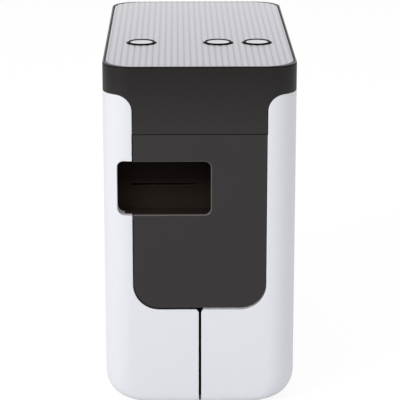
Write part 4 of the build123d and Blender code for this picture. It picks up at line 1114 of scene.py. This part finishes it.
@dataclass
class CrossScrew:
    """A screw with a cross in its head, along Z with the head at the origin. Sizes are in millimetres."""

    length: float
    radius: float = 1.5
    tip: float = 0.6
    head_radius: float = 2.75
    head_height: float = 1.6
    head_round: Tuple[float, float] = (0.25, 0.2)
    dome: float = 0.3
    face_steps: int = 26
    recess_depth: float = 0.9
    recess_reach: float = 1.55
    recess_half_width: float = 0.38
    recess_side: float = 0.12
    recess_end: float = 0.5
    segments: int = 96

    def surface(self) -> Surface:
        """A turned profile whose head is pressed in by a cross.

        The head's face is a parabola. The cross is deepest along its arms and fades over their ends
        and sides.

        Returns:
            Points and quads.
        """
        inset, drop = self.head_round
        out = np.linspace(0.0, self.head_radius - inset, self.face_steps)
        face = np.stack((out, self.dome * (out / self.head_radius) ** 2), axis=-1)
        end = self.head_height + self.length
        rest = np.array((
            (self.head_radius, self.dome + drop), (self.head_radius, self.head_height),
            (self.radius, self.head_height), (self.radius, end - self.tip), (0.0, end),
        ))
        points, quads = lathe(np.concatenate((face, rest)), (0.0, 0.0, 0.0), Turn.ABOUT_Z, self.segments)
        span_xy = np.sort(np.abs(points[:, :2]), axis=1)
        arm = np.clip((self.recess_half_width - span_xy[:, 0]) / self.recess_side, 0.0, 1.0)
        stop = np.clip((self.recess_reach - span_xy[:, 1]) / self.recess_end, 0.0, 1.0)
        on_face = self.face_steps * self.segments
        points[:on_face, 2] += (self.recess_depth * arm * stop)[:on_face]
        return points, quads

    def at(self, places: Array, turn: Turn) -> Surface:
        """Copies of the screw.

        Args:
            places: Where the heads' faces are.
            turn: Direction of the screws.

        Returns:
            Points and quads of all of them.
        """
        points, quads = self.surface()
        return together([(points[:, list(turn.value)] + place, quads) for place in places])


@dataclass
class Underside:
    """Feet, screws, cells, contact springs and the lid's grip in the base. Sizes are in millimetres."""

    foot_radius: float = 3.5
    foot_ease: float = 0.2
    tread_depth: float = 0.2
    tread_inside: Tuple[float, float] = (1.7, 2.0)
    tread_outside: float = 3.1
    tread_side: float = 0.3
    screw_x: float = 9.0
    screw_length: float = 10.0
    cell_length: float = 50.5
    cell_gap: float = 0.1
    cell_ease: float = 0.3
    base_round: Tuple[float, float] = (0.9, 0.4)
    shoulder_round: Tuple[float, float] = (1.1, 0.5)
    nub_radius: float = 2.7
    nub_length: float = 1.4
    nub_groove: Tuple[float, float] = (0.5, 0.1)
    spring_wide: float = 4.6
    spring_narrow: float = 2.7
    spring_length: float = 4.6
    spring_turns: float = 4.0
    spring_steps: int = 200
    wire_radius: float = 0.35
    bar_half: Tuple[float, float] = (9.0, 0.6)
    bar_height: float = 0.42
    bar_ease: float = 0.25
    bar_seat: float = 0.02
    bar_start: float = 42.0
    bar_pitch: float = 2.4
    bar_count: int = 5

    def __post_init__(self) -> None:
        """Take the heights and the cells' places from the nodes."""
        low, high = span("battery_cells")
        self.cell_radius = (high - low)[2] / 2
        self.cell_height = (high + low)[2] / 2
        self.cell_pitch = high[0] - self.cell_radius
        self.stack_end = high[1]
        self.bay_end = span("contact_springs")[1][1]
        self.foot_top = span("rubber_feet")[1][2]
        self.head_low = span("base_screws")[0][2]
        self.cover_face = span("battery_cover")[0][2] + self.bar_seat

    def _feet(self, places: Array) -> Surface:
        """Pads turned from one profile, each with a shallow dish inside its tread.

        Args:
            places: Where the pads' axes meet the floor.

        Returns:
            Points and quads.
        """
        start, edge = self.tread_inside
        corners = (
            (0.0, self.tread_depth), (start, self.tread_depth), (edge, 0.0), (self.tread_outside, 0.0),
            (self.foot_radius, self.tread_side), (self.foot_radius, self.foot_top), (0.0, self.foot_top),
        )
        return together([lathe(eased(corners, self.foot_ease), place, Turn.ABOUT_Z) for place in places])

    def _columns(self) -> Sequence[Tuple[float, int]]:
        """X of each column of cells, and the way it faces."""
        return [(-self.cell_pitch, 1), (0.0, -1), (self.cell_pitch, 1)]

    def _cells(self) -> Surface:
        """Six cells turned from one profile, two to a column, with the columns facing by turns.

        Returns:
            Points and quads.
        """
        length = self.cell_length - self.cell_gap
        shoulder = length - self.nub_length
        corners = (
            (0.0, 0.0), (self.cell_radius - self.base_round[0], 0.0), (self.cell_radius, self.base_round[1]),
            (self.cell_radius, shoulder - self.shoulder_round[1]),
            (self.cell_radius - self.shoulder_round[0], shoulder),
            (self.nub_radius + self.nub_groove[0], shoulder - self.nub_groove[1]),
            (self.nub_radius, shoulder), (self.nub_radius, length), (0.0, length),
        )
        profile = eased(corners, self.cell_ease)
        cells = []
        for x, facing in self._columns():
            for row in (0, 1):
                tail = self.stack_end - row * self.cell_length - length
                points, quads = lathe(profile, (0.0, tail, 0.0), Turn.ABOUT_Y)
                cells.append((points * (1.0, facing, 1.0) + (x, 0.0, self.cell_height), quads))
        return together(cells)

    def _springs(self) -> Surface:
        """Three tapered coils, one to a column.

        The wire's middle goes round at a radius that shrinks evenly while it moves along Y.

        Returns:
            Points and quads.
        """
        t = np.linspace(0.0, 1.0, self.spring_steps)
        angle = 2 * math.pi * self.spring_turns * t
        radius = self.spring_wide + (self.spring_narrow - self.spring_wide) * t
        inside = self.wire_radius + (self.spring_length - 2 * self.wire_radius) * t
        coils = []
        for x, facing in self._columns():
            along = -facing * (self.bay_end - inside)
            height = self.cell_height + radius * np.sin(angle)
            path = np.stack((x + radius * np.cos(angle), along, height), axis=-1)
            coils.append(wire(path, self.wire_radius))
        return together(coils)

    def _bars(self) -> Surface:
        """A row of rounded bars on the lid's outer face: one slab, set down at even steps along Y.

        Returns:
            Points and quads.
        """
        rows = slab(self.bar_half, self.bar_half[1], self.bar_height, self.bar_ease)
        starts = self.bar_start - np.arange(self.bar_count) * self.bar_pitch
        return together([stood(rows, (0.0, y, self.cover_face), Turn.ABOUT_Z, -1.0) for y in starts])

    def _lay_sleeve(self, mesh: Any) -> None:
        """Lay a map along each cell, from 0 at its flat end to 1 at its nub.

        Args:
            mesh: The cells' mesh.
        """
        layer = mesh.uv_layers.new(name="sleeve")
        co = np.empty(len(mesh.vertices) * 3)
        mesh.vertices.foreach_get("co", co)
        x, y, _ = (co.reshape(-1, 3) / MM).T
        facing = np.where(np.abs(x) < self.cell_pitch / 2, -1.0, 1.0)
        share = np.mod(self.stack_end - facing * y, self.cell_length) / self.cell_length
        loops = np.empty(len(mesh.loops), dtype=np.int64)
        mesh.loops.foreach_get("vertex_index", loops)
        along = np.stack((np.zeros(len(loops)), 1.0 - share[loops]), axis=-1)
        layer.data.foreach_set("uv", along.reshape(-1))

    def build(self, model: Model) -> None:
        """Make the pieces.

        Args:
            model: The frame that they stand on.
        """
        foot = np.abs(model.mount("foot_rest"))
        signs = np.array([(x, y, 1) for x in (-1, 1) for y in (-1, 1)])
        heads = signs * (self.screw_x, foot[1], self.head_low)
        screws = CrossScrew(self.screw_length).at(heads, Turn.ABOUT_Z)
        model.stand_in("tread_feet", self._feet(signs * foot), "rubber_feet", SOFT_RUBBER)
        model.stand_in("cross_screws", screws, "base_screws", BRIGHT_STEEL)
        model.added("lid_grip_bars", self._bars(), "battery_cover", BASE_PLASTIC)
        model.stand_in("coil_springs", self._springs(), "contact_springs", BRIGHT_STEEL)
        cells = model.stand_in("sleeved_cells", self._cells(), "battery_cells", CELL_SLEEVE)
        self._lay_sleeve(cells.data)


@dataclass
class Case:
    """The shells, cap, panel and covers, which keep their own forms. Sizes are in millimetres."""

    far: float = 200.0
    hair: float = 0.02
    rim_round: float = 0.5
    panel_foot: float = 42.7
    skin: float = 2.3
    seam_half: float = 2.0
    bevel: float = 0.4
    recess_wall: float = 1.7
    recess_left_reach: float = 1.0
    slot_half_height: float = 0.5

    def __post_init__(self) -> None:
        """Take the window and the slot from the recess behind them and the tape that leaves there."""
        low, high = span("exit_chute")
        self.face = span("front_panel")[0][1]
        self.window_left = low[0] + self.recess_left_reach
        self.window_right = high[0] - self.recess_wall
        self.window_low = low[2] + self.recess_wall
        self.window_high = high[2] - self.recess_wall
        self.slot_foot = middle("label_tape")[2] - self.slot_half_height

    def _level(self, height: float) -> Choice:
        """A test of whether faces lie at a height."""
        return within((-self.far, -self.far, height - self.hair), (self.far, self.far, height + self.hair))

    def _cap(self, model: Model) -> None:
        """Dress the cap, with a smoother, darker finish on the round along its rim; the darker colour is
        painted shade.

        Args:
            model: The frame that holds it.
        """
        cap = model.smoothed("top_cover", BLACK_CAP)
        foot = span("top_cover")[1][2] - self.rim_round - self.hair
        # Painted shade: the rim's round is darker than the cap.
        model.refinish(cap, CAP_RIM, within((-self.far, -self.far, foot), (self.far,) * 3))

    def _panel(self, model: Model) -> None:
        """Dress the front panel, with a painted highlight on the bevel round its window, and near-black
        painted shade on its inner faces and the seam's fin.

        Args:
            model: The frame that holds it.
        """
        panel = model.smoothed("front_panel", BLACK_PANEL)
        margin = self.bevel + self.hair
        # Painted highlight: the window's bevel is paler.
        model.refinish(panel, WINDOW_BEVEL, within(
            (self.window_left, self.face + self.hair, self.window_low - margin),
            (self.window_right + margin, self.face + self.bevel - self.hair, self.window_high + margin),
        ))
        # Painted shade: the faces inside the skin below the window are near-black.
        model.refinish(panel, SHADED_PLASTIC, within(
            (-self.far, self.face + self.skin, 0.0), (self.far, 0.0, self.window_low - margin)
        ))
        # Painted shade: the fin behind the seam is near-black.
        model.refinish(panel, SHADED_PLASTIC, within(
            (-self.seam_half, -self.far, 0.0), (self.seam_half, self.far, self.panel_foot - self.hair)
        ))

    def _recess(self, model: Model) -> None:
        """Dress the recess behind the window, with a paler sill and a pale lower face in the tape's slot,
        both painted light.

        Args:
            model: The frame that holds it.
        """
        recess = model.smoothed("exit_chute", RECESS_PLASTIC)
        # Painted light: the sill is paler.
        model.refinish(recess, RECESS_SILL, self._level(self.window_low))
        # Painted light: the slot's lower face is pale.
        model.refinish(recess, SLOT_LIP, self._level(self.slot_foot))

    def build(self, model: Model) -> None:
        """Dress the outside of the case.

        Args:
            model: The frame that holds the pieces.
        """
        self._cap(model)
        self._panel(model)
        self._recess(model)
        model.smoothed("right_shell", WHITE_SHELL)
        model.smoothed("cassette_door", WHITE_SHELL)
        model.smoothed("rear_cover", REAR_PLASTIC)
        model.smoothed("battery_cover", BASE_PLASTIC)
        model.dress("base_tray", BASE_PLASTIC)


@dataclass
class Cassette:
    """The tape cassette, whose lid faces the door. Sizes are in millimetres."""

    seat: float = 0.02
    roll_rim: Tuple[float, float] = (15.5, 13.8)
    hub_rim: Tuple[float, float] = (5.2, 3.4)
    ribbon_rim: Tuple[float, float] = (6.6, 5.4)
    rim_height: float = 0.8
    rim_ease: float = 0.25
    spoke_half: Tuple[float, float] = (4.2, 0.55)
    spoke_height: float = 0.6
    spoke_ease: float = 0.2
    spoke_reach: float = 9.5
    spoke_count: int = 6
    sticker_middle: Tuple[float, float] = (8.0, 90.0)
    sticker_half: Tuple[float, float] = (27.0, 5.0)
    sticker_corner: float = 1.4
    sticker_height: float = 0.14
    sticker_ease: float = 0.04
    grip_start: Tuple[float, float] = (-40.5, 72.0)
    grip_half: Tuple[float, float] = (0.55, 7.5)
    grip_height: float = 0.6
    grip_ease: float = 0.3
    grip_pitch: float = 2.2
    grip_count: int = 6

    def __post_init__(self) -> None:
        """Take the lid's face and the rolls' axes from the nodes."""
        self.face = span("cassette_lid")[0][0] + self.seat
        self.roll_axis = middle("label_tape_roll")[1:]
        self.ribbon_axis = middle("ribbon_roll")[1:]

    def _rim(self, axis: Array, radii: Tuple[float, float]) -> Surface:
        """A round rim on the lid: a closed profile turned about X.

        Args:
            axis: Y and Z of the rim's axis.
            radii: Its outer and inner radius.

        Returns:
            Points and quads.
        """
        outer, inner = radii
        low = -self.rim_height
        corners = ((inner, 0.0), (inner, low), (outer, low), (outer, 0.0), (inner, 0.0))
        return lathe(eased(corners, self.rim_ease), (self.face, *axis), Turn.ABOUT_X, loop=True)

    def _spokes(self) -> Surface:
        """Bars set round the hub: each slab is moved out and turned by its share of a full turn.

        Returns:
            Points and quads.
        """
        bar = slab(self.spoke_half, self.spoke_half[1], self.spoke_height, self.spoke_ease)
        rows = bar + (self.spoke_reach, 0.0, 0.0)
        bars = []
        for turn in np.arange(self.spoke_count) * 2 * math.pi / self.spoke_count:
            across = rows[..., 0] * math.cos(turn) - rows[..., 1] * math.sin(turn)
            up = rows[..., 0] * math.sin(turn) + rows[..., 1] * math.cos(turn)
            turned = np.stack((across, up, rows[..., 2]), axis=-1)
            bars.append(stood(turned, (self.face, *self.roll_axis), Turn.ABOUT_X, -1.0))
        return together(bars)

    def _grip(self) -> Surface:
        """A row of upright bars for the fingers: one slab, set down at even steps along Y.

        Returns:
            Points and quads.
        """
        start_y, z = self.grip_start
        rows = slab(self.grip_half, self.grip_half[0], self.grip_height, self.grip_ease)
        places = start_y + np.arange(self.grip_count) * self.grip_pitch
        return together([stood(rows, (self.face, y, z), Turn.ABOUT_X, -1.0) for y in places])

    def _sticker(self) -> Surface:
        """A blank paper sticker with rounded corners."""
        rows = slab(self.sticker_half, self.sticker_corner, self.sticker_height, self.sticker_ease)
        return stood(rows, (self.face, *self.sticker_middle), Turn.ABOUT_X, -1.0)

    def build(self, model: Model) -> None:
        """Dress the cassette and add what stands on its lid.

        Args:
            model: The frame that it sits in.
        """
        model.smoothed("cassette_case", CASSETTE_PLASTIC)
        model.smoothed("cassette_lid", CASSETTE_PLASTIC)
        rims = together([
            self._rim(self.roll_axis, self.roll_rim), self._rim(self.roll_axis, self.hub_rim),
            self._rim(self.ribbon_axis, self.ribbon_rim),
        ])
        model.added("cassette_rims", rims, "cassette_lid", CASSETTE_PLASTIC)
        model.added("cassette_spokes", self._spokes(), "cassette_lid", CASSETTE_PLASTIC)
        model.added("cassette_grip", self._grip(), "cassette_lid", CASSETTE_PLASTIC)
        model.added("cassette_sticker", self._sticker(), "cassette_lid", BLANK_PAPER)


@dataclass
class Works:
    """The pieces inside the case, most of which keep their CAD forms. Sizes are in millimetres."""

    screw_length: float = 12.2
    screw_places: Tuple[Tuple[float, float], ...] = ((50.0, 60.0), (50.0, 112.0), (-50.0, 112.0))

    def build(self, model: Model) -> None:
        """Dress the pieces, and smooth those that are round.

        Args:
            model: The frame that holds the pieces.
        """
        flat = {
            GREY_FRAME: ("chassis", "platen_arm", "cutter_lever"),
            BRIGHT_STEEL: ("gear_plate", "cutter_plate", "contact_plates"),
            GROUND_STEEL: ("fixed_blade", "moving_blade"),
            MILLED_ALUMINIUM: ("head_plate",),
            GLAZED_CERAMIC: ("print_head",),
            LABEL_TAPE: ("label_tape",),
            SOLDER_MASK: ("main_board", "button_board"),
            ACETAL: ("drive_gear", "reduction_gear", "ribbon_gear", "platen_gear", "cutter_gear"),
            TURNED_BRASS: ("motor_pinion", "cutter_pinion"),
        }
        turned = {
            BRIGHT_STEEL: (
                "hinge_pin", "gear_plate_screws", "gear_shafts", "platen_shaft", "arm_pivot_pin",
                "cutter_pivot_pin", "cutter_gear_pin",
            ),
            SOFT_RUBBER: ("platen_roller",),
            ZINC_CAN: ("feed_motor", "cutter_motor"),
            LABEL_TAPE: ("label_tape_roll",),
            INK_FILM: ("ribbon_roll", "ribbon_takeup_spool"),
            MOULDED_PACKAGE: ("board_components", "tact_switches"),
        }
        for finish, nodes in flat.items():
            for node in nodes:
                model.dress(node, finish)
        for finish, nodes in turned.items():
            for node in nodes:
                model.smoothed(node, finish)
        screw_face = span("shell_screws")[0][0]
        places = np.array([(screw_face, y, z) for y, z in self.screw_places])
        screws = CrossScrew(self.screw_length).at(places, Turn.ABOUT_X)
        model.stand_in("shell_cross_screws", screws, "shell_screws", BRIGHT_STEEL)


@dataclass
class Sockets:
    """The two sockets in the rear cover. Sizes are in millimetres."""

    mouth_half: Tuple[float, float] = (4.25, 3.9)
    mouth_lip: float = 0.02
    pin_radius: float = 1.2

    def build(self, model: Model) -> None:
        """Dress the sockets: a steel shell with a moulded insert, and a moulded jack with a steel pin.

        Args:
            model: The frame that holds them.
        """
        usb = model.smoothed("usb_socket", BRIGHT_STEEL)
        usb_x, _, usb_z = model.mount("usb_port")
        half_x, half_z = self.mouth_half
        mouth = span("usb_socket")[1][1] - self.mouth_lip
        model.refinish(usb, SOCKET_INSERT, within(
            (usb_x - half_x, 0.0, usb_z - half_z), (usb_x + half_x, mouth, usb_z + half_z)
        ))
        jack = model.smoothed("dc_jack", MOULDED_PACKAGE)
        x, y, z = model.mount("dc_inlet")
        model.refinish(jack, BRIGHT_STEEL, within(
            (x - self.pin_radius, 0.0, z - self.pin_radius), (x + self.pin_radius, y, z + self.pin_radius)
        ))


@dataclass
class Lamp:
    """A square soft light. Lengths are in metres."""

    name: str
    place: Tuple[float, float, float]
    aim: Tuple[float, float, float]
    side: float
    power: float

    def build(self) -> None:
        """Hang the lamp and turn it to its aim."""
        data = bpy.data.lights.new(self.name, "AREA")
        data.shape = "SQUARE"
        data.size = self.side
        data.energy = self.power
        lamp = bpy.data.objects.new(self.name, data)
        lamp.location = self.place
        away = np.asarray(self.place) - np.asarray(self.aim)
        flat = math.hypot(away[0], away[1])
        lamp.rotation_euler = (math.atan2(flat, away[2]), 0.0, math.atan2(away[1], away[0]) + math.pi / 2)
        bpy.context.scene.collection.objects.link(lamp)


@dataclass
class Studio:
    """Floor, light and camera. Lengths are in metres, the lens in millimetres and angles in degrees."""

    floor_half: float = 6.0
    floor_white: float = 0.86
    floor_glow: float = 1.05
    floor_share: float = 0.86
    ambient: float = 0.44
    camera_place: Tuple[float, float, float] = (-0.00920, -0.79737, 0.29263)
    camera_pitch: float = 15.80
    camera_yaw: float = -0.7305
    lens: float = 167.77
    sensor: float = 36.0
    lamps: Tuple[Lamp, ...] = (
        Lamp("key", (-0.85, -0.85, 0.75), (0.0, 0.0, 0.08), 0.7, 9.2),
        Lamp("fill", (0.9, -0.6, 0.5), (0.0, 0.0, 0.07), 0.8, 1.5),
        Lamp("overhead", (0.0, 0.25, 1.2), (0.0, 0.0, 0.1), 0.9, 4.5),
    )

    def _floor(self) -> None:
        """A wide pale floor that the camera sees as white, with the object's shadow still on it."""
        corner = np.array(((-1, -1), (1, -1), (1, 1), (-1, 1))) * self.floor_half
        mesh = bpy.data.meshes.new("floor")
        mesh.from_pydata(np.column_stack((corner, np.zeros(4))).tolist(), [], [(0, 1, 2, 3)])
        tree = FinishTree(bpy.data.materials.new("floor_white"))
        grey = (self.floor_white,) * 3 + (1.0,)
        matt = tree.node("ShaderNodeBsdfDiffuse", None, {"Color": grey})
        lit = tree.node("ShaderNodeEmission", None, {"Color": WHITE, "Strength": self.floor_glow})
        seen = tree.node("ShaderNodeLightPath", output="Is Camera Ray")
        both = tree.node("ShaderNodeMixShader", None, {0: seen * self.floor_share, 1: matt, 2: lit})
        tree.node("ShaderNodeOutputMaterial", None, {"Surface": both})
        mesh.materials.append(tree.owner)
        floor = bpy.data.objects.new("floor", mesh)
        bpy.context.scene.collection.objects.link(floor)

    def _world(self) -> None:
        """Even light all round, and white where the camera, gloss or glass sees it."""
        tree = FinishTree(bpy.data.worlds.new("studio"))
        seen = tree.node("ShaderNodeLightPath", output="Is Camera Ray")
        for ray in ("Is Glossy Ray", "Is Transmission Ray"):
            seen = seen.most(tree.node("ShaderNodeLightPath", output=ray))
        strength = self.ambient + (1.0 - self.ambient) * seen
        back = tree.node("ShaderNodeBackground", None, {"Color": WHITE, "Strength": strength})
        tree.node("ShaderNodeOutputWorld", None, {"Surface": back})
        bpy.context.scene.world = tree.owner

    def _camera(self) -> None:
        """A long lens that looks a little down on the front."""
        data = bpy.data.cameras.new("camera")
        data.lens = self.lens
        data.sensor_width = self.sensor
        camera = bpy.data.objects.new("camera", data)
        camera.location = self.camera_place
        camera.rotation_euler = (math.radians(90.0 - self.camera_pitch), 0.0, math.radians(self.camera_yaw))
        bpy.context.scene.collection.objects.link(camera)
        bpy.context.scene.camera = camera

    def build(self) -> None:
        """Set up the studio."""
        self._floor()
        self._world()
        for lamp in self.lamps:
            lamp.build()
        self._camera()
        bpy.context.scene.view_settings.view_transform = "Standard"


def main() -> None:
    """Load the frame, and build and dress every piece."""
    logging.basicConfig(level=logging.INFO, format="%(name)s: %(message)s")
    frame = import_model()
    model = Model(frame)
    Case().build(model)
    TopPlate().build(model)
    for name in BUTTON_NAMES:
        PushButton(name).build(model)
    Underside().build(model)
    Cassette().build(model)
    Works().build(model)
    Sockets().build(model)
    Studio().build()


if __name__ == "__main__":
    main()
